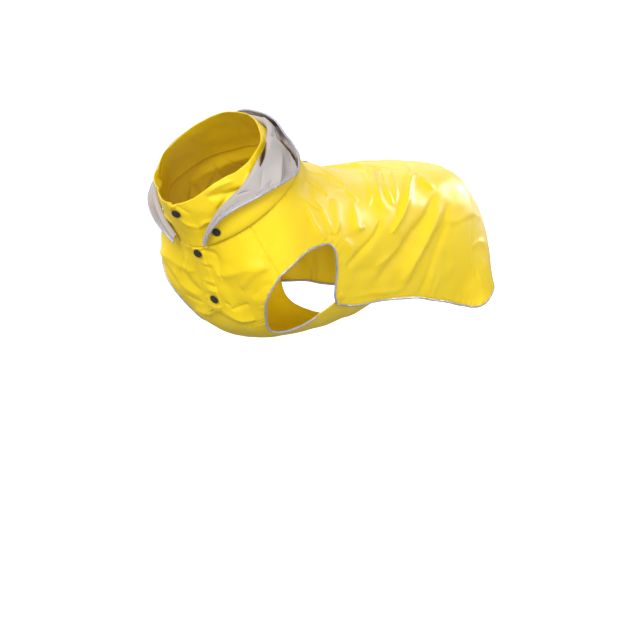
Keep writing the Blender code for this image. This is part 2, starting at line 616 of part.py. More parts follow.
# ---- edges ------------------------------------------------------------------------------------
def armhole_path(side):
    """Round the armhole: down the saddle's edge from its hem corner, then the front's, then the belly's."""
    saddle, _ = along_outline(RIBS, RIB_COLUMNS, ("low_station", "low_angle"),
                              (SHOULDER_SEAM_END, HEM_CORNER), BACK_STEPS[1:2])
    front, _ = along_outline(FRONT_EDGE, FRONT_EDGE_COLUMNS, ("station", "angle"),
                             (SHOULDER_SEAM_END, len(FRONT_EDGE) - 1), FRONT_STEPS[1:])
    belly, places = along_outline(BELLY_EDGE, BELLY_EDGE_COLUMNS, ("station", "angle"),
                                  (0, len(BELLY_EDGE) - 1), BELLY_STEPS)
    saddle = saddle[-2::-1].T
    belly = belly[places < BELLY_PIPING_END]
    return np.concatenate([
        cloth_points(saddle[0], side * saddle[1], MID_WALL, hanging=True),
        cloth_points(front[1:, 0], side * front[1:, 1], MID_WALL),
        cloth_points(belly[1:, 0], side * belly[1:, 1], MID_WALL)])


def hem_path():
    """From the left hem corner back along the flank, round the rear hem and forward to the right one."""
    flank, _ = along_outline(RIBS, RIB_COLUMNS, ("low_station", "low_angle"),
                             (HEM_CORNER, len(RIBS) - 1), BACK_STEPS[2:])
    rear_angle = flank[-1, 1] * np.linspace(1, 0, BACK_HALF_STEPS + 1)[1:]
    station = np.concatenate([flank[:, 0], np.full_like(rear_angle, REAR_HEM)])
    angle = np.concatenate([flank[:, 1], rear_angle])
    left = cloth_points(station, angle, MID_WALL, hanging=True)
    right = cloth_points(station, -angle, MID_WALL, hanging=True)
    return np.concatenate([left, right[-2::-1]])


def add_pipings(materials, parts):
    grey = materials["reflective_piping"]
    add_piping("piping_armhole_left", armhole_path(1), grey, parts)
    add_piping("piping_armhole_right", armhole_path(-1), grey, parts)
    add_piping("piping_hem", hem_path(), grey, parts)


def main():
    clear_scene()
    parts = bpy.data.collections.new("dog_raincoat")
    bpy.context.scene.collection.children.link(parts)
    materials = make_materials()
    add_back_panel(materials, parts)
    add_front(1, materials, parts)
    add_front(-1, materials, parts)
    add_placket(materials, parts)
    add_belly_panel(materials, parts)
    add_collar(materials, parts)
    add_hood(materials, parts)
    add_pipings(materials, parts)
    for name, station, angle, out, radius in SNAP_PLACES:
        add_snap(name, station, angle, out, radius, materials["black_snap"], parts)


main()
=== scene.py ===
"""The looks of a hooded dog raincoat: yellow coated cloth, grey hood lining, reflective piping and
black snaps, in its worn form with no wearer in it. Lengths in the tables are millimetres.

The panels lie on the solids' own surface, given by a station (which section, neck to tail) and an
angle in degrees round it (0 on the back's centreline, +90 the wearer's left, 180 under the body).
"""
import math

import bpy
import numpy as np
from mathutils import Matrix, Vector


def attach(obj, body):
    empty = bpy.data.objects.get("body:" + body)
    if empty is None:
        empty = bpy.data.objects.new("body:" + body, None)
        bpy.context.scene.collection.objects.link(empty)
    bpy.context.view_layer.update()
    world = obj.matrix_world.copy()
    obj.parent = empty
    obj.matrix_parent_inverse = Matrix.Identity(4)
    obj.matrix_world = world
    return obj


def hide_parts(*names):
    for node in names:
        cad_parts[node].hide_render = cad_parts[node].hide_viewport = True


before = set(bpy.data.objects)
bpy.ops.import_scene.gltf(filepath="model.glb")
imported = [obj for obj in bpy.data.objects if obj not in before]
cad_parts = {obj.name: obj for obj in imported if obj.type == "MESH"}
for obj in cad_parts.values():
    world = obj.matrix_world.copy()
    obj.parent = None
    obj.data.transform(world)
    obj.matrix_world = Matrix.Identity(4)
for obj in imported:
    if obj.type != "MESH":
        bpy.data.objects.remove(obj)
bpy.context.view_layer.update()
MM = 0.001


def add_object(name, data):
    made = bpy.data.objects.new(name, data)
    bpy.context.scene.collection.objects.link(made)
    return made


# ---- camera ----
CAMERA_TURN, CAMERA_TIP = math.radians(41), math.radians(11)
CAMERA_RIGHT = Vector((math.cos(CAMERA_TURN), math.sin(CAMERA_TURN), 0))
CAMERA_AWAY = Vector((-math.sin(CAMERA_TURN), math.cos(CAMERA_TURN), 0))
UP = Vector((0, 0, 1))
camera = bpy.context.scene.camera = add_object("camera", bpy.data.cameras.new("camera"))
camera.data.lens, camera.data.sensor_width, camera.data.clip_end = 135, 36, 100
camera.location = (2.112, -2.417, 0.413)
look = CAMERA_AWAY * math.cos(CAMERA_TIP) - UP * math.sin(CAMERA_TIP)
camera.rotation_euler = look.to_track_quat("-Z", "Y").to_euler()

# ---- the coat's form, as in its solids ----
SECTIONS = (  # back y z, side x y z, under y z, hang y z, top power, low power
    (-150, 90, 75, -208, 35, -277, -23, -277, -23, 2, 1.6),
    (-75, 38, 97, -172, -14, -234, -80, -234, -80, 2, 1.8),
    (-8, 3, 117, -150, -85, -190, -166, -190, -166, 2.2, 2.2),
    (45, -8, 117, -70, -98, -150, -209, -150, -209, 2.1, 2.4),
    (90, -11, 115, 10, -97, -78, -219, -70, -270, 2.05, 2.4),
    (135, -11, 113, 80, -95, 0, -213, 10, -300, 2, 2.4),
    (180, -11, 111, 140, -92, 100, -205, 100, -310, 2, 2.4),
    (225, -16, 110, 188, -102, 150, -215, 160, -315, 2, 2.3),
    (265, -39, 107, 218, -134, 172, -235, 190, -320, 2, 2.2),
    (303, -88, 107, 234, -176, 162, -250, 200, -330, 2, 2.1),
    (333, -192, 109, 241, -214, 140, -238, 190, -330, 2, 2),
)
RIBS = (  # top station, low station, low angle of the saddle's edge
    (1, 1, 126.5), (1.14, 1.26, 124.3), (1.28, 1.55, 119.2), (1.42, 1.87, 115), (1.6, 1.92, 102.6),
    (1.82, 1.98, 93.1), (2.1, 2.12, 86.7), (2.42, 2.37, 82.3), (2.7, 2.55, 84), (3, 2.82, 91.5),
    (3.28, 3.06, 99), (3.52, 3.33, 112), (3.78, 3.52, 117), (4.16, 3.97, 116.3),
    (4.75, 4.62, 113.6), (5.5, 5.46, 114.5), (6.25, 6.3, 117.6), (6.95, 7.05, 118.6),
    (7.6, 7.74, 116.5), (8.2, 8.4, 111.3), (8.8, 9.05, 104.3), (9.3, 9.62, 97), (9.7, 9.92, 88),
    (10, 10, 79),
)
FRONT_EDGE = (  # station, angle, station at the centre front
    (1, 126.5, 1), (1.26, 124.3, 1.2), (1.55, 119.2, 1.42), (1.87, 115, 1.6), (1.9, 122.5, 1.7),
    (1.97, 131.5, 1.79), (2.07, 138.2, 1.87), (2.2, 143, 1.94), (2.42, 148, 2),
)
BELLY_EDGE = (  # station, angle, tuck inside the saddle
    (2.42, 148, 0), (2.7, 153, 0), (3, 154, 0), (3.3, 146, 0.6), (3.55, 130, 1.9), (3.8, 112, 2.2),
    (4.05, 102.5, 2.2), (4.5, 99.5, 2.2), (5, 99.5, 2.2),
)
HOOD = (  # angle, roll rise, trough rise, trough out, turn, rim rise, rim out
    (-163, 12, 6, 8.4, 0.5, 4, 9.6), (-153, 27, 17, 8.6, 0.8, 13, 12),
    (-140, 41, 28, 9, 1.2, 21, 15.5), (-127, 46, 30, 9.4, 1.6, 22, 18),
    (-114, 50, 27, 9.4, 1.6, 17, 18.5), (-97, 54, 22, 9.2, 1.8, 13, 18),
    (-72, 58, 16, 9, 2, 7, 17), (-50, 56, 18, 8.4, 2.2, 20, 17), (-20, 53, 26, 7.8, 3, 42, 22),
    (0, 52, 24, 7.6, 3.4, 38, 20.5), (20, 52, 28, 7.2, 3, 42, 15.5), (40, 56, 33, 6, 3.2, 40, 15),
    (50, 60, 31, 5.6, 3.6, 32, 16.8), (58, 64, 25, 6, 3.4, 25, 18.5),
    (66, 67, 18, 7.6, 2.4, 17, 19.5), (74, 68, 15, 9, 1.6, 11, 18.6),
    (97, 64, 27, 8.8, 1.6, 23, 14.5), (114, 56, 34, 8.6, 1.6, 30, 12.5),
    (127, 51, 40, 8.4, 1.6, 35, 12), (140, 44, 38, 8.4, 1.2, 34, 11.2),
    (153, 28, 25, 8.4, 0.8, 22, 10.2), (163, 11, 8, 8.2, 0.5, 4, 9.6),
)
SHOULDER_SEAM_END, HEM_CORNER = 3, 12  # rows of RIBS, and the first of FRONT_EDGE too
REAR_HEM = 10.0  # station
BELLY_SEAM = (2.0, 5.3)  # the belly panel's stations on the centreline
BELLY_PIPING_END, BELLY_IN = 3.9, 0.2  # row of BELLY_EDGE, and mm inside the surface
SEAM_POINT = 0.12  # how blunt a front's seams turn at the centre front
RIB_BEND = 1.8  # how late the saddle's rows turn to their low stations
LAP_RIGHT = 6.4  # degrees that the right front runs on under the left
LAP_RISE, LAP_HEIGHT = (161, 170), 1.95  # degrees over which the left front rises on to it
LAP_EDGE = np.array((  # station, angle
    (0.0, 181.5), (1.0, 181.0), (1.4, 183.0), (1.8, 184.8), (2.0, 185.6)))
PLACKET_HALF, PLACKET_IN = 6.2, 6.2  # degrees, from its middle and to the free edge
PLACKET_ENDS = (1.02, 1.965)  # stations
PLACKET_RISE, PLACKET_SUNK = 1.5, 0.5  # mm, from its sewn edge, which lies in the front's wall
RIM_RISE = np.array((  # angle, how far the collar's rim stands above its section
    (-190, 4), (-170, 5), (-155, 4.5), (-135, 1.5), (-120, 0), (-95, 0), (-70, -4), (-45, -6),
    (50, -6.5), (66, -4.5), (84, -1), (100, 0), (112, 1.5), (120, 4.5),
    (130, 6), (139, 4), (150, 0.5), (162, 0.5), (170, 2), (180, 4), (190, 4)))
HOOD_END, NECK_LENGTH = 163, 75.0  # degrees, and mm from the neck seam to the collar's rim
STAND_OUT, STAND_START, ROLL_RADIUS, TURN_REACH = 2.0, 1.5, 3.2, 10.0  # mm, of the hood
STAND_ROWS, ROLL_BEND = 4, 22.5  # rows up the stand, and degrees a row round the roll
TURN_LOW, TURN_BACK = (0.7, 0.7), (0.5, 1.6)  # points of the turn below, in its size: down, out
ROLL_SHARE = 0.27  # the stand's and roll's length, in shares of the fall
WAVES_FADE, CREASES_FADE = (-ROLL_SHARE, 0.5), (-0.2, -0.08)  # shares where they set in
GAPS_RISE, GAPS_FALL = (-0.25, -0.1), (0, 0.5)
HOOD_GAPS = (  # between collar and hood: angle, spread, out
    (72, 11, 6.6), (48, 13, -2.6), (-76, 12, 2.6), (-40, 12, -1.6), (20, 12, 1.6))
NECK_DENT, NECK_DENT_ANGLE, NECK_DENT_SPREAD = 5.0, 38, 30  # mm, and degrees
CLOTH, HOOD_CLOTH = 1.1, 0.6  # thickness
LINING_OUT, SHELL_IN = 0.75, 0.2  # from the hood's middle surface
HOOD_HEM = 4.2  # from the rim to its stitches
MID_WALL = -0.75  # the middle of the solids' wall, off its outer face
PIPE_RADIUS = 1.5
RIGHT_PIPE_OUT = 1.0  # further out, so that the right armhole's edge shows past the chest
COAT_SCALE = (46, 2)  # mm a station and mm a degree, about
HOOD_SCALE = (57, 1.7)  # mm from the hood's roll to its rim, and mm a degree

# Grids: steps along an outline's stretches, and points across.
BACK_STEPS, BACK_COLUMNS, REAR_COLUMNS = (24, 108, 158), 301, 90
FRONT_STEPS, FRONT_COLUMNS, LAP_COLUMNS = (34, 66), 91, 9
BELLY_STEPS, BELLY_COLUMNS = 100, 121
COLLAR_ROWS, COLLAR_COLUMNS = 42, 340
PLACKET_ROWS, PLACKET_COLUMNS = 90, 30
HOOD_COLUMNS, FALL_ROWS, HOOD_SMOOTHING = 481, 66, 6

# ---- creases ----
# Each row: height, half width to the left of its run, half width to the right, and then the
# station and angle of each of its places. Heights below 0 are troughs.
CREASE_GAIN = 1.5  # on these two tables' heights
SIDE_CREASES = (
    # pulls from the withers' snap
    (2, 2.4, 2.2, 1.18, 42, 1.52, 35, 1.86, 32, 2.18, 34, 2.28, 38),
    (1.7, 2, 2.3, 1.62, 21, 1.82, 27, 2.16, 32, 2.26, 36),
    (1.5, 2, 2, 1.95, 12, 2.2, 24, 2.26, 34, 2.28, 38),
    (1.4, 1.9, 2.2, 1.7, 31, 1.94, 36, 2.18, 36),
    (1.9, 2.2, 3.2, 1.76, 44, 2, 42, 2.26, 40),
    (2.2, 2.9, 4, 2.34, 40, 2.48, 44, 2.72, 51),
    # from the hood over the shoulder to the armhole
    (2, 2.9, 3.6, 1.18, 56, 1.42, 54, 1.66, 52, 1.84, 53),
    (2.5, 7.6, 4.2, 1.9, 54, 2.08, 54, 2.2, 60, 2.38, 69, 2.44, 76),
    (1.4, 2.2, 2.4, 1.46, 42, 1.58, 48, 1.82, 52),
    (2, 2.2, 3.2, 1.48, 60, 1.66, 64, 1.82, 64, 2.08, 69, 2.34, 76),
    (1.7, 2.4, 2.4, 1.26, 74, 1.54, 69, 1.8, 65),
    (2, 2.3, 3.6, 1.46, 72, 1.72, 74, 2, 76, 2.3, 80),
    # the hooked ridge behind the armhole
    (3.2, 5, 5.5, 2.56, 51, 2.7, 61, 2.88, 71, 3.04, 74, 3.1, 72),
    (2.2, 6, 7, 3.1, 57, 3.16, 47, 3.16, 37, 3.32, 21, 3.6, 4),
    # the folds that stand over the loin
    (4.6, 9, 11, 4.5, -26, 4.2, -8, 3.86, 12, 3.42, 34, 3.42, 50, 3.58, 60, 3.9, 70),
    (2.6, 3.6, 4.6, 4.58, 7, 3.82, 32, 3.76, 48, 3.88, 60, 3.94, 64),
    (2.4, 3.2, 4, 4.58, 20, 4.18, 36, 4.04, 54, 4, 65),
    (-2.6, 5, 5, 4.9, -26, 4.68, -4, 4.4, 10, 3.76, 38),
    (4.6, 5, 9, 5.26, 35, 4.76, 44, 4.5, 55, 4.38, 66, 4.28, 74, 4.18, 78, 4.08, 84),
    (2.4, 7, 5, 5.76, 8, 5.02, 31, 4.78, 44),
    (2.6, 5, 7, 5.26, 40, 5.24, 50, 5.5, 61),
    # the flank's long slanting folds
    (-4.6, 9, 14, 5.74, 68, 5.46, 70, 5.2, 80, 4.92, 86, 4.64, 93, 4.32, 100, 4.16, 106),
    (4.4, 9, 10, 5.9, 73, 5.56, 86, 5.34, 94, 5.14, 99, 5.02, 105, 4.98, 108),
    (-4.4, 7, 12, 6.16, 74, 5.96, 88, 5.66, 94, 5.38, 100, 5.3, 106, 5.2, 110),
    (-2.2, 6, 6, 6.24, 86, 6.04, 92, 5.88, 98, 5.74, 110, 5.68, 114),
    (1.2, 4, 4, 6.22, 107, 6.16, 116),
    (1.2, 4, 4, 5.92, 104, 6, 115),
    (1, 12, 12, 6.46, 90, 6.64, 102, 6.64, 110),
    # the rump
    (0.7, 3, 9, 6.2, 88, 6.34, 86, 6.88, 83, 8.68, 56),
    (0.8, 8, 5, 7.44, 79, 7.62, 90, 8.4, 96),
    (1.1, 3, 4, 7.66, 92, 9.34, 56),
    (0.9, 3, 3.4, 8.22, 80, 9.06, 66),
    (0.8, 3, 3.4, 8.48, 84, 9.48, 74),
    (0.8, 3, 3.8, 8.2, 93, 9.44, 88),
    # below the armhole and along the hem
    (1.8, 3.4, 4.4, 2.74, 80, 3.22, 91),
    (-1.6, 8, 8, 3.42, 98, 4.12, 100),
    (-2.4, 5, 6, 3.6, 72, 3.58, 82, 3.32, 91, 3.2, 96),
    (1.8, 6, 5, 3.96, 98, 4.32, 94, 4.54, 90),
    (1.3, 3, 4, 3.76, 112, 4.26, 110, 4.88, 110, 5.14, 108),
    (1.3, 3, 3, 3.4, 110, 3.54, 114),
    # the collar
    (-5.2, 3.8, 5, 0.13, 141, 0.24, 132, 0.31, 126, 0.37, 116),
    (2.8, 4, 3, 0.06, 137, 0.07, 127, 0.12, 117),
    (2.4, 2.4, 2.4, 0.14, 100, 0.25, 109, 0.32, 115),
    (-2.4, 3, 3, 0.46, 141, 0.39, 133, 0.33, 126),
    (2.2, 3, 3, 0.63, 163, 0.57, 155, 0.6, 146),
    # the fronts
    (3.7, 5, 12, 1.46, 168, 1.47, 154, 1.48, 142, 1.55, 131, 1.64, 120),
    (3.2, 4.6, 9, 1.68, 152, 1.6, 141, 1.58, 134, 1.6, 123),
    (3.2, 4, 8, 2.02, 182, 2.18, 174, 2.29, 168, 2.32, 156),
    (-1.8, 3, 3, 2, 169, 1.97, 161, 1.96, 153),
    (-1.7, 6, 6, 1.06, 161, 1.25, 161, 1.41, 164, 1.52, 164),
    (-1.6, 4, 5, 1.86, 124, 1.8, 134, 1.86, 146),
)
# Those that aren't repeated on the other side.
CENTRE_CREASES = (
    (-1.9, 9, 12, 6.5, 34, 7.4, 30, 8.6, 32, 9.9, 38),
    (1.7, 8, 12, 6.9, 14, 8, 12, 9, 14, 9.95, 20),
    (-1.6, 10, 9, 7.3, -8, 8.2, -6, 9.2, -8, 9.95, -4),
    (1.6, 12, 9, 6.7, -30, 7.6, -27, 8.8, -30, 9.95, -36),
    (-1.7, 9, 10, 7, -52, 8, -48, 9, -50, 9.9, -58),
    (1.3, 8, 8, 7.6, 50, 8.5, 46, 9.4, 48, 9.95, 54),
    (-10, 12, 20, 1.34, -74, 1.27, -30, 1.27, 0, 1.27, 30, 1.34, 74),
    (1.6, 3.4, 3, 0.33, 175, 0.5, 170, 0.62, 163),
    (-1.5, 3, 3, 0, 168, 0.12, 165, 0.28, 161),
    (1.6, 2.4, 2.4, 0.18, 187, 0.1, 180, 0.02, 169),
    (1, 3.4, 3, 1.04, 192, 1, 181),
    (-1.7, 2.2, 2.6, 1.06, 172, 1.09, 166, 1.17, 161),
    (1.6, 2.6, 2.6, 1, 169, 1.03, 164, 1.08, 159),
    (1.1, 2.6, 2.6, 1.25, 176, 1.28, 171, 1.26, 165),
    (-1, 2.2, 2.2, 1.31, 175, 1.34, 168),
    (1.1, 2.6, 2.6, 1.52, 180, 1.55, 172),
    (-1, 2.2, 2.2, 1.58, 179, 1.62, 171),
    (1, 2.4, 2.4, 1.66, 181, 1.68, 173),
    (-1.2, 2.6, 2.6, 1.88, 172, 1.92, 168),
    (1.8, 5, 6, 1.5, -151, 1.72, -150, 1.84, -168),
    (-1.8, 5, 5, 1.32, -160, 1.55, -158, 1.76, -172),
    (1.3, 4, 4, 1.2, -168, 1.42, -164, 1.6, -170),
)
# On the hood a place is the share of the way from its roll to its rim, and the angle.
HOOD_CREASES = (
    (7, 15, 4.4, -0.02, 58, 0.12, 62, 0.32, 66.5, 0.55, 79, 0.8, 87, 1.04, 95),
    (-6, 9, 9, 0.02, 42, 0.3, 54, 0.58, 67, 0.8, 77, 0.96, 84),
    (-6.4, 2.6, 2.4, 0.2, 34, 0.32, 43.8, 0.52, 46.5, 0.7, 48.9, 0.82, 55, 0.93, 63, 1, 73),
    (-1.8, 4, 4, 0.66, 93, 0.84, 98, 1, 101),
    (-1.8, 3, 4, 0.82, 104, 0.88, 112, 0.86, 121),
    (1.6, 1.8, 2.2, 0.86, 95, 1, 96),
    (-2.2, 3.4, 3, -0.1, 123, 0.12, 118, 0.38, 113),
    (-1.6, 5, 5, 0.56, 69, 0.78, 74, 0.98, 80),
    (-1.5, 5, 4, 0.2, 92, 0.42, 99, 0.7, 106),
    (1.4, 4, 4, 0.1, 132, 0.5, 136, 0.95, 142),
    (5, 5, 14, -0.14, -46, 0.02, -58, 0.32, -68, 0.6, -80, 1.02, -92),
    (-4.2, 3, 4, 0.2, -110, 0.42, -122, 0.55, -136, 0.62, -152),
    (1.8, 4, 4, 0.78, -124, 0.84, -134, 0.92, -146),
    (-1.6, 5, 4, 0.6, -96, 0.8, -100, 1, -102),
    (3.2, 8, 6, -0.05, 14, 0.3, 10, 0.66, 12, 1, 20),
    (2.8, 7, 8, -0.05, -20, 0.3, -14, 0.7, -16, 1, -26),
    (-2, 5, 5, 0.3, 34, 0.6, 30, 1, 34),
)
# Painted shade on the lining: brown, and nearly black in the deepest places, where shade falls in
# the hood's pockets, its gap at the collar, its rim band and its far flap. Strength in place of
# height.
HOOD_PAINTED_SHADE = (
    (2.2, 5, 5, 0.1, 30, 0.32, 43.8, 0.52, 46.5, 0.7, 48.9, 0.84, 56),
    (4.4, 2.6, 2.8, 0.44, 45, 0.56, 46.5, 0.7, 49.9, 0.82, 56, 0.92, 63, 0.99, 71, 1.06, 84),
    (2, 18, 18, 0.5, 52, 0.66, 36, 0.76, 20, 0.78, 4, 0.76, -20, 0.72, -48, 0.6, -66),
    (3.8, 6, 2.6, -0.27, 50, -0.2, 62, -0.12, 74, 0, 84, 0.07, 92),
    (0.6, 7, 7, 0.84, 34, 0.92, 46, 0.98, 56, 1, 66),
    (1.3, 2.6, 3, 0.2, -110, 0.42, -122, 0.55, -136, 0.62, -152),
    (0.9, 30, 30, 0.1, -108, 0.3, -120, 0.6, -134, 0.9, -152),
)
CREASE_STRAY, PLACE_STRAY = np.array((0.1, 3.5)), np.array((0.03, 1.2))  # on the right side
RIGHT_SIZE, STRAY_FROM = (0.75, 1.1), 20  # of the left's heights; degrees from the centreline
CREASE_REACH = 3.4  # half widths that a crease is felt over
PINCHED_WIDTH = 6  # creases up to this half width are pinched to an edge
PINCHED_POWERS, ROUND_POWERS = (0.5, 1.2), (1.4, 1.5)  # of the tips and of the flanks
SWELL_POWER, TIP_WIDTH = 0.6, 0.45  # how it swells along its run, and its width at the tips
FLANK_BLEND = 1.2  # mm over which one flank's width becomes the other's
FLANK_DIP, FLANK_REACH = 0.28, 2.2  # the dip beside a crease, in heights and half widths
WAVE_COUNT, SHORT_WAVE, LONG_WAVE = 26, 16, 64  # the loose cloth's small waves, mm
BODY_WAVES, HOOD_WAVES = 0.9, 0.8  # how strongly they show, mm
PUCKERS = ((6.1, 0.5), (9.7, 0.8), (14.3, 0.7), (23.0, 0.6))  # along seams: length, size
PUCKER_REACH, SEAM_WIDTH = 3.2, 1.5  # mm from the seam
EDGE_ROUND = 0.45  # of a panel's thickness
PIPE_STEP, PIPE_SIDES, PIPE_SMOOTHING = 2.0, 14, 6
PIPE_UNEVEN, PIPE_KNOT, PIPE_END = 0.035, 4, 0.55  # share, steps, and its ends' share
INSET_ROWS = 40  # of a grid, that an inset run is looked for in
STITCH, STITCH_GAP, STITCH_OUT, THREAD_RADIUS, THREAD_SIDES = 2.7, 0.6, 0.05, 0.26, 6
STITCH_RINGS = (  # share of a stitch's length; size and rise, in the thread's radius
    (-0.5, 0.35, -0.48), (-0.36, 0.85, 0.032), (0, 1, 0.256), (0.36, 0.85, 0.032),
    (0.5, 0.35, -0.48))


# ---- the surface ----
NUMBERS = np.array(SECTIONS, float)
CLOSED = NUMBERS[:, (0, 1, 2, 3, 4, 5, 6, 9, 10)]  # round to the belly
HANGING = NUMBERS[:, (0, 1, 2, 3, 4, 7, 8, 9, 10)]  # the saddle, whose flanks hang free


def smooth_rows(table, place):
    """Reads a table's rows at any place between them, on Catmull-Rom curves."""
    last = len(table) - 1
    place = np.clip(np.asarray(place, float), 0, last)
    row = np.minimum(place.astype(int), last - 1)
    spread = place.shape + (1,) * (table.ndim - 1)
    t = (place - row).reshape(spread)
    here, there = table[row], table[row + 1]
    before = np.where((row > 0).reshape(spread), table[np.maximum(row - 1, 0)], 2 * here - there)
    after = np.where((row + 2 <= last).reshape(spread), table[np.minimum(row + 2, last)],
                     2 * there - here)
    return 0.5 * (2 * here + (there - before) * t
                  + (2 * before - 5 * here + 4 * there - after) * t ** 2
                  + (3 * here - before - 3 * there + after) * t ** 3)


def unit(vectors):
    return vectors / np.maximum(np.linalg.norm(vectors, axis=-1, keepdims=True), 1e-12)


def bare_points(station, angle, hanging):
    """The surface without folds, in mm."""
    row = np.moveaxis(smooth_rows(HANGING if hanging else CLOSED, station), -1, 0)
    back_y, back_z, side_x, side_y, side_z, low_y, low_z, top_power, low_power = row
    turn = np.radians(angle)
    power = np.where(np.cos(turn) > 0, top_power, low_power)
    across = np.sign(np.sin(turn)) * np.abs(np.sin(turn)) ** (2 / power)
    level = np.sign(np.cos(turn)) * np.abs(np.cos(turn)) ** (2 / power)
    down = (1 - level) / 2
    back_share = (1 - down) * (1 - 2 * down)
    side_share = 4 * down * (1 - down)
    low_share = down * (2 * down - 1)
    return np.stack([side_x * across,
                     back_y * back_share + side_y * side_share + low_y * low_share,
                     back_z * back_share + side_z * side_share + low_z * low_share], -1)


def outward(station, angle, hanging=False):
    """Unit normals of that surface, away from the wearer."""
    def between(station_step, angle_step):
        return (bare_points(station + station_step, angle + angle_step, hanging)
                - bare_points(station - station_step, angle - angle_step, hanging))
    return unit(np.cross(between(0, 1.0), between(0.03, 0)))


def smooth_step(start, end, value):
    t = np.clip((value - start) / (end - start), 0, 1)
    return t * t * (3 - 2 * t)


def crease_lift(place, angle, crease, scale):
    """One crease on a flat map of the cloth. It swells from its tips, and each flank has its own
    width. Narrow creases are pinched to an edge and broad ones are round.
    """
    height, left, right, places = crease
    last = len(places) - 1
    steps = max(6, 5 * last)
    path = smooth_rows(places * scale, np.linspace(0, last, steps + 1))
    x, y = place * scale[0], angle * scale[1]
    lift = np.zeros(x.shape)
    reach = CREASE_REACH * max(left, right)
    near = ((x > path[:, 0].min() - reach) & (x < path[:, 0].max() + reach)
            & (y > path[:, 1].min() - reach) & (y < path[:, 1].max() + reach))
    x, y = x[near], y[near]
    if not x.size:
        return lift
    best = np.full(x.shape, 1e9)
    side, share = np.zeros(x.shape), np.zeros(x.shape)
    for step, (start, end) in enumerate(zip(path, path[1:])):
        run = end - start
        t = np.clip(((x - start[0]) * run[0] + (y - start[1]) * run[1]) / (run @ run), 0, 1)
        off_x, off_y = x - start[0] - t * run[0], y - start[1] - t * run[1]
        miss = off_x ** 2 + off_y ** 2
        closer = miss < best
        best = np.where(closer, miss, best)
        side = np.where(closer, run[0] * off_y - run[1] * off_x, side)
        share = np.where(closer, (step + t) / steps, share)
    swell = np.sin(np.pi * np.clip(share, 0, 1)) ** SWELL_POWER
    step_length = np.linalg.norm(np.diff(path, axis=0), axis=1).mean()
    blend = smooth_step(-1, 1, side / step_length / FLANK_BLEND)
    width = (right + (left - right) * blend) * (TIP_WIDTH + (1 - TIP_WIDTH) * swell)
    off = np.sqrt(best) / width
    pinched = min(left, right) <= PINCHED_WIDTH
    tip_power, edge_power = PINCHED_POWERS if pinched else ROUND_POWERS
    dip = FLANK_DIP * np.exp(-(off / FLANK_REACH) ** 2)
    lift[near] = height * np.clip(swell, 0, 1) ** tip_power * (np.exp(-off ** edge_power) - dip)
    return lift


def read_creases(table):
    """A table's rows as height, half widths and a list of places."""
    return [(*row[:3], np.array(row[3:], float).reshape(-1, 2)) for row in table]


def all_creases():
    """The tables' creases, and the right side's, which are a little apart from the left's."""
    chance = np.random.default_rng(7)
    creases = read_creases(SIDE_CREASES + CENTRE_CREASES)
    for height, left, right, places in read_creases(SIDE_CREASES):
        off_station, off_angle = chance.uniform(-CREASE_STRAY, CREASE_STRAY)
        grown = height * chance.uniform(*RIGHT_SIZE)
        stray = chance.uniform(-PLACE_STRAY, PLACE_STRAY, places.shape)
        station, angle = places.T
        station = station + off_station + stray[:, 0]
        angle = angle + (off_angle + stray[:, 1]) * np.minimum(1, np.abs(angle) / STRAY_FROM)
        creases.append((grown, right, left, np.stack([station, -angle], 1)))
    return [(CREASE_GAIN * height, *others) for height, *others in creases]


CREASES = all_creases()
WAVES = np.random.default_rng(21)
WAVE_RUN = unit(WAVES.normal(size=(WAVE_COUNT, 3)))
WAVE_RUN *= (2 * np.pi / WAVES.uniform(SHORT_WAVE, LONG_WAVE, WAVE_COUNT))[:, None]
WAVE_START = WAVES.uniform(0, 2 * np.pi, WAVE_COUNT)
WAVE_SIZE = 2 * np.pi / np.linalg.norm(WAVE_RUN, axis=1) / LONG_WAVE


def loose_waves(points):
    """Small soft waves of the loose cloth, read from a point's place: they run on across seams."""
    flat = points.reshape(-1, 3)
    lift = (np.sin(flat @ WAVE_RUN.T + WAVE_START) * WAVE_SIZE).sum(1) / math.sqrt(WAVE_COUNT)
    return lift.reshape(points.shape[:-1])


def neck_dent(station, angle):
    """The neck is pressed in a little on its left rear, collar and hood alike."""
    share = np.exp(-((angle - NECK_DENT_ANGLE) / NECK_DENT_SPREAD) ** 2)
    return -NECK_DENT * share * smooth_step(1.0, 0.3, station)


def relief(station, angle, bare):
    lift = BODY_WAVES * loose_waves(bare) + neck_dent(station, angle)
    for crease in CREASES:
        middle = crease[-1][:, 1].mean()
        turned = (angle - middle + 180) % 360 - 180 + middle
        lift += crease_lift(station, turned, crease, COAT_SCALE)
    return lift


def hood_relief(share, angle, creases):
    """What a table of creases adds up to on the hood."""
    return sum(crease_lift(share, angle, crease, HOOD_SCALE) for crease in read_creases(creases))


def cloth_points(station, angle, out=0.0, hanging=False):
    """Points on the cloth's outer face, or out mm off it."""
    station, angle = np.broadcast_arrays(np.asarray(station, float), np.asarray(angle, float))
    bare = bare_points(station, angle, hanging)
    lift = relief(station, angle, bare) + out
    return bare + outward(station, angle, hanging) * lift[..., None]


def front_lap(angle):
    return smooth_step(*LAP_RISE, angle) * LAP_HEIGHT


def lap_edge(station):
    """The angle of the left front's free edge."""
    return np.interp(station, LAP_EDGE[:, 0], LAP_EDGE[:, 1])


def along_outline(rows, corners, steps):
    """A table's rows read finely, smooth between its corner rows."""
    rows = np.array(rows, float)
    runs = [smooth_rows(rows[first:last + 1], np.linspace(first, last, count + 1) - first)
            for first, last, count in zip(corners, corners[1:], steps)]
    return np.concatenate([*(run[:-1] for run in runs[:-1]), runs[-1]])


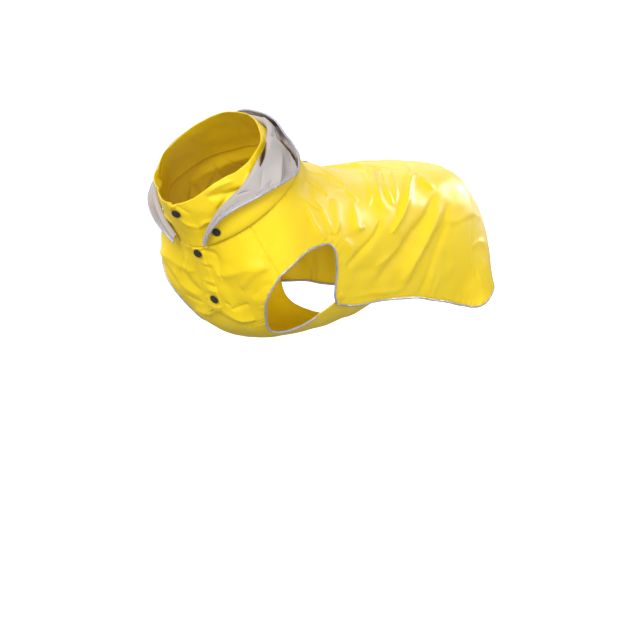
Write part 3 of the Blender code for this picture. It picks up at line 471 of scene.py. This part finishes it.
def across_station(rows, angle):
    """Stations between a seam's rows, (station, angle, station at the centreline), at an angle."""
    edge_station, edge_angle, centre_station = rows.T[:, :, None]
    off_centre = (np.abs(180 - angle) / (180 - edge_angle)) ** 2
    share = off_centre * (1 + SEAM_POINT) / (off_centre + SEAM_POINT)
    return centre_station + (edge_station - centre_station) * share


# ---- meshes ----
def grid_normals(points):
    """Unit normals of a grid of points, across crossed with along."""
    return unit(np.cross(np.gradient(points, axis=1), np.gradient(points, axis=0)))


def far_along(points):
    """How far each point of a path, or of a grid's columns, lies from the first one."""
    far = np.cumsum(np.linalg.norm(np.diff(points, axis=0), axis=-1), axis=0)
    return np.concatenate([0 * far[:1], far])


def smoothed(rows, rounds):
    """Rows eased in place towards their neighbours. The first and the last stay."""
    for _ in range(rounds):
        rows[1:-1] = (rows[:-2] + 2 * rows[1:-1] + rows[2:]) / 4
    return rows


def circle(sides, across, up):
    """Points round a circle of radius 1 that has these axes."""
    turn = np.linspace(0, 2 * np.pi, sides, endpoint=False)[:, None]
    return np.cos(turn) * across[..., None, :] + np.sin(turn) * up[..., None, :]


def edge_distances(points):
    """How far each point of a grid lies from its sides: its first and last rows, which are top
    and low, and its first and last columns, start and end.
    """
    down, over = far_along(points), far_along(points.swapaxes(0, 1)).T
    return {"top": down, "low": down[-1:] - down, "start": over, "end": over[:, -1:] - over}


def sewn(points, edges, seed=3):
    """Puckers a grid along its sewn edges and dips it into the seam. edges: side -> pucker, dip."""
    chance = np.random.default_rng(seed)
    far = edge_distances(points)
    down, over = far["top"], far["start"]
    runs = {"top": over[:1], "low": over[-1:], "start": down[:, :1], "end": down[:, -1:]}
    lift = np.zeros(points.shape[:-1])
    for side, (pucker, dip) in edges.items():
        wave = sum(np.sin(2 * np.pi * runs[side] / length + chance.uniform(0, 6.3)) * size
                   for length, size in PUCKERS)
        off = far[side] / PUCKER_REACH
        lift += pucker * wave * off * np.exp(1 - off) - dip * np.exp(-(far[side] / SEAM_WIDTH) ** 2)
    return points + grid_normals(points) * lift[..., None]


def make_mesh(name, points, faces, material, uv=None):
    mesh = bpy.data.meshes.new(name)
    mesh.from_pydata((points * MM).tolist(), [], faces)
    mesh.shade_smooth()
    if uv is not None:
        layer = mesh.uv_layers.new(name="UVMap")
        corner = np.zeros(len(mesh.loops), int)
        mesh.loops.foreach_get("vertex_index", corner)
        layer.data.foreach_set("uv", uv[corner].astype(np.float32).ravel())
    mesh.materials.append(material)
    return add_object(name, mesh)


def quads(*corners):
    return np.stack([corner.ravel() for corner in corners], -1)


def grid_uv(points):
    """Lengths along the cloth, in centimetres, for the weave."""
    far = edge_distances(points)
    middle = points.shape[1] // 2
    over = far["start"] - far["start"][:, middle:middle + 1]
    return np.stack([over / 10, far["top"] / 10], -1)


def add_cloth(name, points, material, thickness=CLOTH, flip=False, painted_shade=None):
    """A panel: its outer face, its inner face a wall further in, and a rounded edge between them.

    With no thickness it is one face, for a panel whose edges all end inside a piping or a seam.
    painted_shade is a number for each point of the grid, which the material can read as painted
    shade.
    """
    rows, columns = points.shape[:2]
    uv = grid_uv(points).reshape(-1, 2)
    index = np.arange(rows * columns).reshape(rows, columns)
    outer = quads(index[:-1, :-1], index[:-1, 1:], index[1:, 1:], index[1:, :-1])
    if not thickness:
        return make_mesh(name, points.reshape(-1, 3), outer.tolist(), material, uv)
    normals = grid_normals(points)
    inside = np.roll(outer[:, ::-1], 1, axis=1) + rows * columns
    ring = np.concatenate([index[0, :-1], index[:-1, -1], index[-1, :0:-1], index[:0:-1, 0]])
    next_in = np.concatenate([index[1, :-1], index[:-1, -2], index[-2, :0:-1], index[:0:-1, 1]])
    flat, deep = points.reshape(-1, 3), (points - normals * thickness).reshape(-1, 3)
    tangent = unit(np.roll(flat[ring], -1, 0) - np.roll(flat[ring], 1, 0))
    edge_out = np.cross(tangent, normals.reshape(-1, 3)[ring])
    edge_out *= np.sign((edge_out * (flat[ring] - flat[next_in])).sum(1, keepdims=True) + 1e-9)
    round_edge = (flat[ring] + deep[ring]) / 2 + edge_out * thickness * EDGE_ROUND
    edge = np.arange(len(ring)) + 2 * rows * columns
    after, edge_after = np.roll(ring, -1), np.roll(edge, -1)
    upper = quads(after, ring, edge, edge_after)
    lower = quads(edge_after, edge, ring + rows * columns, after + rows * columns)
    faces = np.concatenate([outer, inside, upper, lower])
    if flip:
        faces = faces[:, ::-1]
    cloth = make_mesh(name, np.concatenate([flat, deep, round_edge]), faces.tolist(), material,
                      np.concatenate([uv, uv, uv[ring]]))
    # painted shade, stored on the mesh for the material
    if painted_shade is not None:
        painted_shade = painted_shade.ravel()
        values = cloth.data.attributes.new("painted_shade", "FLOAT", "POINT")
        values.data.foreach_set("value", np.concatenate([painted_shade, painted_shade, painted_shade[ring]]))
    return cloth


def even_path(path, step, others=()):
    """A path, and lists that go with it, read at even steps."""
    far = far_along(path)
    count = max(2, int(round(far[-1] / step)))
    at = np.linspace(0, far[-1], count + 1)
    return [np.stack([np.interp(at, far, values[:, axis]) for axis in range(3)], -1)
            for values in (path, *others)]


def tube_faces(index):
    """The faces of a tube whose rings of points are index's rows, with its two ends closed."""
    after = np.roll(index, -1, 1)
    return (quads(index[:-1], index[1:], after[1:], after[:-1]).tolist()
            + [index[0].tolist(), index[-1, ::-1].tolist()])


def add_tube(name, path, normals, material):
    """A round piping with rounded ends, of a slightly uneven thickness."""
    path, normals = even_path(path, PIPE_STEP, (normals,))
    path = smoothed(path, PIPE_SMOOTHING)
    tangent = unit(np.gradient(path, axis=0))
    normals = unit(normals - tangent * (normals * tangent).sum(1, keepdims=True))
    count = len(path)
    knots = np.arange(0, count + PIPE_KNOT, PIPE_KNOT)
    uneven = np.random.default_rng(count).normal(size=len(knots))
    size = PIPE_RADIUS * (1 + PIPE_UNEVEN * np.interp(np.arange(count), knots, uneven))
    size[[0, -1]] *= PIPE_END
    rings = circle(PIPE_SIDES, np.cross(tangent, normals), normals)
    points = path[:, None] + rings * size[:, None, None]
    index = np.arange(count * PIPE_SIDES).reshape(count, PIPE_SIDES)
    return make_mesh(name, points.reshape(-1, 3), tube_faces(index), material)


def inset_path(points, side, far):
    """The run on a grid that stays far mm inside one of its edges, and its normals."""
    normals = grid_normals(points)
    if side in ("start", "end"):
        points, normals = points.transpose(1, 0, 2), normals.transpose(1, 0, 2)
    if side in ("low", "end"):
        points, normals = points[::-1], normals[::-1]
    points, normals = points[:INSET_ROWS], normals[:INSET_ROWS]
    lengths = far_along(points)
    read = [[[np.interp(far, lengths[:, place], values[:, place, axis]) for axis in range(3)]
             for place in range(points.shape[1])] for values in (points, normals)]
    return np.array(read[0]), unit(np.array(read[1]))


def add_stitches(name, rows, material):
    """Rows of stitches, each a short rounded thread that dives into the cloth at both ends."""
    points, faces = [], []
    for path, normals in rows:
        path, normals = even_path(path, STITCH + STITCH_GAP, (normals,))
        for at, along, normal in zip((path[1:] + path[:-1]) / 2, unit(path[1:] - path[:-1]),
                                     unit(normals[1:] + normals[:-1])):
            ring = circle(THREAD_SIDES, np.cross(along, normal), normal) * THREAD_RADIUS
            first = len(points) * THREAD_SIDES
            for place, size, rise in STITCH_RINGS:
                points.append(at + along * place * STITCH + ring * size
                              + normal * rise * THREAD_RADIUS)
            count = len(STITCH_RINGS) * THREAD_SIDES
            faces += tube_faces(first + np.arange(count).reshape(-1, THREAD_SIDES))
    return make_mesh(name, np.concatenate(points), faces, material)


# ---- materials: each function gives its shader's inputs ----
def set_inputs(tree, made, inputs):
    for key, value in inputs.items():
        if isinstance(value, bpy.types.NodeSocket):
            tree.links.new(value, made.inputs[key])
        else:
            made.inputs[key].default_value = value


def node(tree, kind, inputs, **settings):
    made = tree.nodes.new("ShaderNode" + kind)
    for key, value in settings.items():
        setattr(made, key, value)
    set_inputs(tree, made, inputs)
    return made


def arithmetic(tree, operation, first, second=0.0):
    return node(tree, "Math", {0: first, 1: second}, operation=operation).outputs[0]


def mixed(tree, share, first, second, way="MIX"):
    return node(tree, "Mix", {"Factor": share, 6: first, 7: second},
                data_type="RGBA", blend_type=way).outputs[2]


def place(tree, kind):
    return node(tree, "TexCoord", {}).outputs[kind]


def weave(tree, threads_per_cm):
    """The height of a plain weave along the cloth's own lengths, from -1 to 1."""
    along = node(tree, "SeparateXYZ", {0: place(tree, "UV")}).outputs
    beat = math.pi * threads_per_cm
    warp, weft = (arithmetic(tree, "SINE", arithmetic(tree, "MULTIPLY", way, beat))
                  for way in (along[0], along[1]))
    return arithmetic(tree, "MULTIPLY", warp, weft)


def noise(tree, scale, detail=3.0, roughness=0.55):
    inputs = {"Vector": place(tree, "Object"), "Scale": scale, "Detail": detail,
              "Roughness": roughness}
    return node(tree, "TexNoise", inputs).outputs["Fac"]


def ramp(tree, value, low, high, low_colour, high_colour):
    made = node(tree, "ValToRGB", {"Fac": value})
    first, last = made.color_ramp.elements
    first.position, first.color = low, (*low_colour, 1)
    last.position, last.color = high, (*high_colour, 1)
    return made.outputs["Color"]


def span(tree, value, low, high, to_low, to_high):
    return node(tree, "MapRange", {"Value": value, "From Min": low, "From Max": high,
                                             "To Min": to_low, "To Max": to_high}).outputs["Result"]


def bumped(tree, heights):
    """heights: (value, strength, distance in metres), from the finest to the broadest."""
    normal = {}
    for value, strength, distance in heights:
        made = node(tree, "Bump", {"Height": value, "Strength": strength,
                                             "Distance": distance, **normal})
        normal = {"Normal": made.outputs["Normal"]}
    return made.outputs["Normal"]


def yellow_cloth(tree):
    blotch = ramp(tree, noise(tree, 9, 2), 0.30, 0.70, (0.840, 0.600, 0.007), (0.890, 0.655, 0.010))
    threads = ramp(tree, noise(tree, 900, 2, 0.7), 0.25, 0.75, (0.90, 0.89, 0.85), (1.0, 1.0, 1.0))
    return {"Base Color": mixed(tree, 1.0, blotch, threads, "MULTIPLY"),
            "Roughness": span(tree, noise(tree, 55, 4, 0.6), 0.3, 0.7, 0.43, 0.52),
            "Specular IOR Level": 0.38,
            "Normal": bumped(tree, ((weave(tree, 22), 0.10, 0.00012),
                                    (noise(tree, 420, 3, 0.6), 0.22, 0.00025),
                                    (noise(tree, 90, 3, 0.5), 0.16, 0.0011)))}


def grey_lining(tree):
    """Grey weave with painted shade: it turns brown, and then nearly black, where its painted_shade
    value is high.
    """
    tone = ramp(tree, noise(tree, 14, 3), 0.3, 0.7, (0.42, 0.386, 0.37), (0.48, 0.443, 0.427))
    threads = span(tree, weave(tree, 16), -1, 1, 0, 1)
    crossing = ramp(tree, threads, 0.1, 0.9, (0.86, 0.86, 0.87), (1.0, 1.0, 1.0))
    grey = mixed(tree, 1.0, tone, crossing, "MULTIPLY")
    # painted shade: the lining is painted brown in the hood's pockets, and nearly black where they
    # are deepest
    painted_shade = node(tree, "Attribute", {}, attribute_name="painted_shade").outputs["Fac"]
    broken = span(tree, noise(tree, 130, 3), 0.3, 0.7, 0.6, 1.0)
    share = arithmetic(tree, "MINIMUM", 1.0, arithmetic(tree, "MULTIPLY", painted_shade, broken))
    brown = ramp(tree, noise(tree, 45, 2), 0.35, 0.65, (0.10, 0.058, 0.026), (0.32, 0.19, 0.07))
    pocket = mixed(tree, share, grey, brown)
    deep = span(tree, painted_shade, 0.9, 1.9, 0.0, 1.0)
    return {"Base Color": mixed(tree, deep, pocket, (0.032, 0.015, 0.008, 1)),
            "Roughness": span(tree, noise(tree, 300, 2), 0.3, 0.7, 0.55, 0.72),
            "Specular IOR Level": 0.12,
            "Sheen Weight": 0.06,
            "Sheen Roughness": 0.4,
            "Normal": bumped(tree, ((weave(tree, 16), 0.25, 0.0002),
                                    (noise(tree, 260, 3), 0.2, 0.0004)))}


def reflective_piping(tree):
    beads = node(tree, "TexVoronoi",
                 {"Vector": place(tree, "Object"), "Scale": 2600.0}).outputs["Distance"]
    tone = ramp(tree, beads, 0.0, 0.6, (0.62, 0.63, 0.71), (0.44, 0.45, 0.52))
    wear = ramp(tree, noise(tree, 120, 4, 0.65), 0.32, 0.62, (0.72, 0.72, 0.74), (1.0, 1.0, 1.0))
    return {"Base Color": mixed(tree, 1.0, tone, wear, "MULTIPLY"),
            "Metallic": 0.35,
            "Roughness": span(tree, noise(tree, 300, 2), 0.3, 0.7, 0.34, 0.5),
            "Normal": bumped(tree, ((beads, 0.15, 0.0001), (noise(tree, 500, 2), 0.2, 0.0002)))}


def black_snap(tree):
    worn = noise(tree, 220, 4, 0.6)
    tone = ramp(tree, worn, 0.35, 0.75, (0.016, 0.014, 0.016), (0.034, 0.031, 0.035))
    return {"Base Color": tone,
            "Roughness": span(tree, noise(tree, 700, 3, 0.6), 0.3, 0.7, 0.30, 0.44),
            "Normal": bumped(tree, ((noise(tree, 1800, 2), 0.12, 0.00006),))}


def thread(tree, low, high):
    return {"Base Color": ramp(tree, noise(tree, 1500, 2), 0.3, 0.7, low, high),
            "Roughness": 0.55,
            "Normal": bumped(tree, ((noise(tree, 2600, 2), 0.3, 0.0001),))}


def floor_white(_):
    return {"Base Color": (0.93, 0.93, 0.93, 1), "Emission Color": (1.0, 1.0, 1.0, 1),
            "Emission Strength": 0.2, "Roughness": 0.9, "Specular IOR Level": 0.0}


def new_material(name, looks, *colours):
    material = bpy.data.materials.new(name)
    material.use_nodes = True
    tree = material.node_tree
    set_inputs(tree, tree.nodes["Principled BSDF"], looks(tree, *colours))
    return material


YELLOW = new_material("yellow_coated_cloth", yellow_cloth)
GREY = new_material("grey_lining", grey_lining)
PIPING = new_material("reflective_piping", reflective_piping)
BLACK = new_material("black_snap", black_snap)
THREAD = new_material("yellow_thread", thread, (0.70, 0.47, 0.012), (0.90, 0.66, 0.03))
GREY_THREAD = new_material("grey_thread", thread, (0.30, 0.27, 0.26), (0.42, 0.38, 0.37))


# ---- panels: each gives its piece and its grid of points -
def saddle():
    ribs = along_outline(RIBS, (0, SHOULDER_SEAM_END, HEM_CORNER, len(RIBS) - 1), BACK_STEPS)
    top, low, low_angle = ribs[:, :1], ribs[:, 1:2], ribs[:, 2:]
    reach = np.linspace(-1, 1, BACK_COLUMNS)
    station = top + (low - top) * np.abs(reach) ** RIB_BEND
    points = cloth_points(station, low_angle * reach, hanging=True)
    points = sewn(points, {"top": (0.16, 0.3), "low": (0.24, 0.75), "start": (0.26, 0.75),
                           "end": (0.26, 0.75)})
    return add_cloth("back", points, YELLOW, thickness=0), points


def front(side):
    """side is 1 for the left front, which laps over, and -1 for the right."""
    rows = along_outline(FRONT_EDGE, (0, SHOULDER_SEAM_END, len(FRONT_EDGE) - 1), FRONT_STEPS)
    lap = lap_edge(rows[:, 2:]) - 180 if side > 0 else np.full((len(rows), 1), LAP_RIGHT)
    angle = rows[:, 1:2] + (180 - rows[:, 1:2]) * np.linspace(0, 1, FRONT_COLUMNS)
    angle = np.concatenate([angle, 180 + lap * np.linspace(0, 1, LAP_COLUMNS)[1:]], 1)
    out = front_lap(angle) if side > 0 else 0
    points = cloth_points(across_station(rows, angle), side * angle, out)
    armhole = "start"
    if side < 0:
        points = points[:, ::-1]
        armhole = "end"
    points = sewn(points, {"top": (0.16, 0.5), "low": (0.12, 0.4), armhole: (0.2, 0.6)})
    return add_cloth("front_left" if side > 0 else "front_right", points, YELLOW), points


def placket():
    station, across = np.meshgrid(np.linspace(*PLACKET_ENDS, PLACKET_ROWS),
                                  np.linspace(-1, 1, PLACKET_COLUMNS), indexing="ij")
    angle = lap_edge(station) - PLACKET_IN + across * PLACKET_HALF
    out = PLACKET_RISE * smooth_step(-1.0, -0.55, across) - PLACKET_SUNK
    points = cloth_points(station, angle, front_lap(angle) + out)
    points = sewn(points, {"end": (0.14, 0.3)})
    return add_cloth("front_placket", points, YELLOW), points


def belly():
    rows = along_outline(BELLY_EDGE, (0, len(BELLY_EDGE) - 1), (BELLY_STEPS,))
    tuck = rows[:, 2:].copy()
    rows[:, 2] = np.linspace(*BELLY_SEAM, len(rows))
    angle = 180 + (180 - rows[:, 1:2]) * np.linspace(-1, 1, BELLY_COLUMNS)
    points = cloth_points(across_station(rows, angle), angle, -tuck - BELLY_IN)
    points = sewn(points, {"top": (0.12, 0.4), "low": (0.2, 0.3), "start": (0.2, 0.4),
                           "end": (0.2, 0.4)})
    return add_cloth("belly", points, YELLOW, flip=True), points


def collar():
    station, across = np.meshgrid(np.linspace(0, 1, COLLAR_ROWS),
                                  np.linspace(0, 1, COLLAR_COLUMNS), indexing="ij")
    angle = (-180 - LAP_RIGHT) * (1 - across) + lap_edge(station) * across
    points = cloth_points(station, angle, front_lap(angle))
    rise = np.interp(angle, *RIM_RISE.T) * (1 - station)
    points = points + unit(points[0] - points[4]) * rise[..., None]
    points = sewn(points, {"top": (0.18, 0.0), "low": (0.16, 0.3)})
    return add_cloth("collar_band", points, YELLOW), points


# ---- the hood ----
def hood_rows():
    """Stations, angles and outs of the hood's middle surface: up its stand, over its roll, down
    its fall and up again to its rim. The shares say how far down the fall each row is.
    """
    angle = np.linspace(-HOOD_END, HOOD_END, HOOD_COLUMNS)
    numbers = np.array(HOOD, float)
    row = np.interp(angle, numbers[:, 0], np.arange(len(HOOD)))
    roll, trough, trough_out, turn, rim, rim_out = smooth_rows(numbers, row)[:, 1:].T
    top, stand_out = roll - ROLL_RADIUS, np.full_like(roll, STAND_OUT)
    stand = [(STAND_START + (top - STAND_START) * share, stand_out)
             for share in np.arange(STAND_ROWS) / STAND_ROWS]
    over = [(top + ROLL_RADIUS * math.sin(bend), stand_out + ROLL_RADIUS * (1 - math.cos(bend)))
            for bend in np.radians(np.arange(0, 180, ROLL_BEND))]
    low = trough - TURN_LOW[0] * turn
    fall = np.array([
        (top, stand_out + 2 * ROLL_RADIUS),
        (trough, trough_out),
        (low, trough_out + TURN_LOW[1] * turn),
        (low + TURN_BACK[0] * turn * np.tanh((rim - trough) / TURN_REACH),
         trough_out + TURN_BACK[1] * turn),
        (rim, rim_out)])
    far = far_along(fall.swapaxes(1, 2))
    share = np.linspace(0, 1, FALL_ROWS + 1)
    wanted = share[:, None] * far[-1]
    fall = np.stack([[np.interp(wanted[:, column], far[:, column], fall[:, axis, column])
                      for axis in (0, 1)] for column in range(HOOD_COLUMNS)], -1).transpose(1, 0, 2)
    rows = np.concatenate([np.array(stand + over), smoothed(fall, HOOD_SMOOTHING)])
    rising = len(stand + over)
    share = np.concatenate([np.linspace(-ROLL_SHARE, 0, rising + 1)[:-1], share])
    station = 1.0 - rows[:, 0] / NECK_LENGTH
    station, share, angle = np.broadcast_arrays(station, share[:, None], angle)
    return station, angle, rows[:, 1], share


def hood():
    """The lining and the shell, and what the piping and the stitches need of the hood."""
    station, angle, out, share = hood_rows()
    bare = bare_points(station, angle, False)
    lift = HOOD_WAVES * loose_waves(bare) * smooth_step(*WAVES_FADE, share)
    lift += hood_relief(share, angle, HOOD_CREASES) * smooth_step(*CREASES_FADE, share)
    near_roll = smooth_step(*GAPS_RISE, share) * (1 - smooth_step(*GAPS_FALL, share))
    for middle, spread, gap in HOOD_GAPS:
        lift += gap * np.exp(-((angle - middle) / spread) ** 2) * near_roll
    lift += out + neck_dent(station, angle)
    middle = bare + outward(station, angle) * lift[..., None]
    normals = grid_normals(middle)
    face = sewn(middle + normals * LINING_OUT, {"low": (0.2, 0.0)}, seed=5)
    # painted shade for the lining: brown to nearly black in the hood's pockets and gaps
    painted_shade = np.clip(hood_relief(share, angle, HOOD_PAINTED_SHADE), 0, 2)
    lining = add_cloth("hood_lining_cloth", face, GREY, HOOD_CLOTH, painted_shade=painted_shade)
    shell = add_cloth("hood_shell_cloth", middle - normals * SHELL_IN, YELLOW, HOOD_CLOTH)
    return lining, shell, face, (middle[-1], normals[-1])


# ---- edges ----
def edge_run(pieces, wall=MID_WALL):
    """A path and its normals, through (stations, angles, hanging) one after another."""
    return (np.concatenate([cloth_points(s, a, wall, hanging) for s, a, hanging in pieces]),
            np.concatenate([outward(s, a, hanging) for s, a, hanging in pieces]))


def armhole_run(side):
    edge = along_outline(RIBS, (SHOULDER_SEAM_END, HEM_CORNER), BACK_STEPS[1:2])
    fronts = along_outline(FRONT_EDGE, (SHOULDER_SEAM_END, len(FRONT_EDGE) - 1), FRONT_STEPS[1:])
    under = along_outline(BELLY_EDGE, (0, len(BELLY_EDGE) - 1), (BELLY_STEPS,))
    under = under[np.linspace(0, len(BELLY_EDGE) - 1, len(under)) < BELLY_PIPING_END]
    return edge_run([(edge[-2::-1, 1], side * edge[-2::-1, 2], True),
                     (fronts[1:, 0], side * fronts[1:, 1], False),
                     (under[1:, 0], side * under[1:, 1], False)],
                    MID_WALL + (RIGHT_PIPE_OUT if side < 0 else 0))


def hem_run():
    flank = along_outline(RIBS, (HEM_CORNER, len(RIBS) - 1), BACK_STEPS[2:])
    rear_angle = flank[-1, 2] * np.linspace(1, 0, REAR_COLUMNS)[1:]
    station = np.concatenate([flank[:, 1], np.full_like(rear_angle, REAR_HEM)])
    angle = np.concatenate([flank[:, 2], rear_angle])
    return edge_run([(station, angle, True), (station[-2::-1], -angle[-2::-1], True)])


# ---- snaps ----
SNAP_RADIUS = 6.25
SNAP_PROFILE = (  # share of the radius, height in mm, from the middle of the cap's top
    (0, 2.05), (0.3, 2), (0.52, 1.86), (0.58, 1.62), (0.63, 1.6), (0.7, 1.86), (0.8, 1.92),
    (0.9, 1.74), (0.97, 1.34), (1, 0.86), (0.99, 0.42), (0.94, 0.1), (0.8, -0.15))
SNAP_SIDES = 56
SNAPS = (  # name, station, angle, out, radius
    ("snap_1", 0.18, 174, 2.4, SNAP_RADIUS), ("snap_2", 1.09, 175, 3.9, SNAP_RADIUS),
    ("snap_3", 1.8, 177.7, 3.9, SNAP_RADIUS), ("snap_hood_left", 0.8, 150, 3.7, 5.6),
    ("snap_hood_right", 0.8, -150, 3.7, 5.6), ("snap_back", 1.86, 0, 0.7, 5))


def add_snap(name, station, angle, out, radius):
    """A cap turned from its profile. A fan closes its top, and its last ring its back."""
    normal = outward(np.array(station), np.array(angle))
    at = cloth_points(station, angle, out)
    sideways = unit(np.cross(normal, (0, 0, 1)))
    round_it = circle(SNAP_SIDES, sideways, np.cross(sideways, normal))
    rings = [at + round_it * radius * share + normal * height * radius / SNAP_RADIUS
             for share, height in SNAP_PROFILE]
    index = SNAP_SIDES * np.arange(len(rings) - 1)[:, None] + np.arange(SNAP_SIDES)
    faces = tube_faces(index)[:-2]
    faces += [[len(index) * SNAP_SIDES, *pair] for pair in zip(index[0], np.roll(index[0], -1))]
    return make_mesh(name + "_cap", np.concatenate([*rings[1:], rings[0][:1]]),
                     [*faces, index[-1, ::-1]], BLACK)


# ---- seams ----
def add_seams(back, left, right, band, under, neck, hood_face):
    """Stitches along these rows: grid, side, how far in, and the part of its run that is sewn."""
    rows = (
        (back, "top", 2, 0.02, 0.98), (back, "low", 5.2, 0, 1),
        (back, "start", 5.2, 0.2, 1), (back, "end", 5.2, 0.2, 1),
        (back, "start", 2.2, 0.02, 0.13), (back, "end", 2.2, 0.02, 0.13),
        (left, "top", 2, 0, 0.9), (left, "start", 5, 0.4, 1), (left, "low", 2, 0, 1),
        (right, "top", 2, 0.1, 1), (right, "end", 5, 0.4, 1), (right, "low", 2, 0, 1),
        (band, "end", 2, 0, 1), (band, "start", 4.6, 0.02, 0.98), (band, "top", 2.2, 0.25, 0.9),
        (neck, "top", 2.2, 0, 1), (neck, "top", 8, 0, 1), (neck, "low", 2, 0, 1),
        (neck, "end", 2.2, 0, 1),
        (under, "top", 2.2, 0.02, 0.98), (under, "start", 5, 0, 1), (under, "end", 5, 0, 1))
    runs = []
    for grid, side, far, *shares in rows:
        path, normals = inset_path(grid, side, far)
        first, last = (int(share * (len(path) - 1)) for share in shares)
        part = slice(first, last + 1)
        runs.append((path[part] + normals[part] * STITCH_OUT, normals[part]))
    carry(add_stitches("stitches", runs, THREAD))
    rim = inset_path(hood_face, "low", HOOD_HEM)
    carry(add_stitches("hood_stitches", [rim], GREY_THREAD))


# ---- the coat ----
def carry(piece, node_name=None):
    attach(piece, "root")
    if node_name:
        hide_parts(node_name)


def build():
    back, back_grid = saddle()
    left, left_grid = front(1)
    right, right_grid = front(-1)
    band, band_grid = placket()
    under, under_grid = belly()
    neck, neck_grid = collar()
    lining, shell, hood_face, hood_rim = hood()
    add_seams(back_grid, left_grid, right_grid, band_grid, under_grid, neck_grid, hood_face)
    fronts = ["front_left", "front_right"]
    for piece, cad, flat, held, rests_on, area in (
            (back, "back_panel", (0.56, 0.56), "draped", ["collar_band", *fronts], 0.236),
            (left, "chest_left", (0.13, 0.14), "stretched", ["back"], 0.0123),
            (right, "chest_right", (0.13, 0.14), "stretched", ["back"], 0.0120),
            (band, "placket", (0.024, 0.09), "laid", ["front_left"], None),
            (under, "belly_panel", (0.26, 0.28), "stretched", [*fronts, "back"], 0.0488),
            (neck, "collar", (0.56, 0.10), "stretched", ["back"], 0.0414),
            (lining, "hood_lining", (0.62, 0.12), "folded", ["collar_band"], 0.0523),
            (shell, "hood_shell", (0.62, 0.12), "folded", ["collar_band"], 0.0513)):
        carry(piece, cad)
    for name, run in (("piping_armhole_left", armhole_run(1)),
                      ("piping_armhole_right", armhole_run(-1)),
                      ("piping_hem", hem_run()), ("piping_hood", hood_rim)):
        carry(add_tube(name + "_cord", *run, PIPING), name)
    for row in SNAPS:
        carry(add_snap(*row), row[0])


# ---- floor and light ----
FLOOR_LEVEL, FLOOR_REACH = -0.8, 60  # metres
SUNS = (  # name; right, up and away as the camera sees them; strength, angle; on colour, on gloss
    ("front_softbox", -0.3, 0.8, -1.0, 2.5, 36, True, True),
    ("left_softbox", -1.0, 0.5, -1.0, 0.9, 40, True, False),
    ("right_fill", 1.0, 0.0, -0.6, 1.4, 60, True, False),
    ("low_fill", 0.7, -0.6, -0.6, 0.8, 90, True, False),
    ("back_fill", 0.2, 0.8, 1.0, 0.5, 60, True, False),
    ("far_fill", -1.0, 0.45, 0.7, 1.5, 50, True, True),
    ("rear_fill", 0.5, 0.2, 1.0, 0.7, 70, True, False),
    ("top_shine", 0.1, 0.6, 1.0, 0.8, 40, False, True),
)
RUMP_LAMP_FROM, RUMP_LAMP_FAR = (1.0, 0.42, 0.85), 0.6  # for the shine on the rump
RUMP = Vector((0.08, 0.27, -0.055))


def as_seen(right, up, away):
    return CAMERA_RIGHT * right + UP * up + CAMERA_AWAY * away


def add_light(name, kind, towards, strength, diffuse, gloss, **settings):
    """A soft light that falls on the cloth's colour, its gloss or both."""
    data = bpy.data.lights.new(name, kind)
    data.energy = strength
    for key, value in settings.items():
        setattr(data, key, value)
    light = add_object(name, data)
    light.rotation_euler = towards.to_track_quat("Z", "Y").to_euler()
    light.visible_diffuse, light.visible_glossy = diffuse, gloss
    return light


def set_stage():
    floor = add_object("floor", bpy.data.meshes.new("floor"))
    corners = [(x * FLOOR_REACH, y * FLOOR_REACH, FLOOR_LEVEL)
               for x, y in ((-1, -1), (1, -1), (1, 1), (-1, 1))]
    floor.data.from_pydata(corners, [], [(0, 1, 2, 3)])
    floor.data.materials.append(new_material("floor_white", floor_white))
    floor.visible_diffuse = floor.visible_glossy = False    # it doesn't grey the cloth from below

    for name, right, up, away, strength, spread, diffuse, gloss in SUNS:
        add_light(name, "SUN", as_seen(right, up, away), strength, diffuse, gloss,
                  angle=math.radians(spread))
    towards = as_seen(*RUMP_LAMP_FROM)
    lamp = add_light("rump_lamp", "SPOT", towards, 70, False, True, spot_size=math.radians(15),
                     spot_blend=0.8, shadow_soft_size=0.11)
    lamp.location = RUMP + towards.normalized() * RUMP_LAMP_FAR
    world = bpy.data.worlds.new("studio")
    world.use_nodes = True
    set_inputs(world.node_tree, world.node_tree.nodes["Background"],
               {"Color": (1.0, 1.0, 1.0, 1), "Strength": 0.35})
    bpy.context.scene.world = world
    bpy.context.scene.view_settings.view_transform = "Standard"


build()
set_stage()
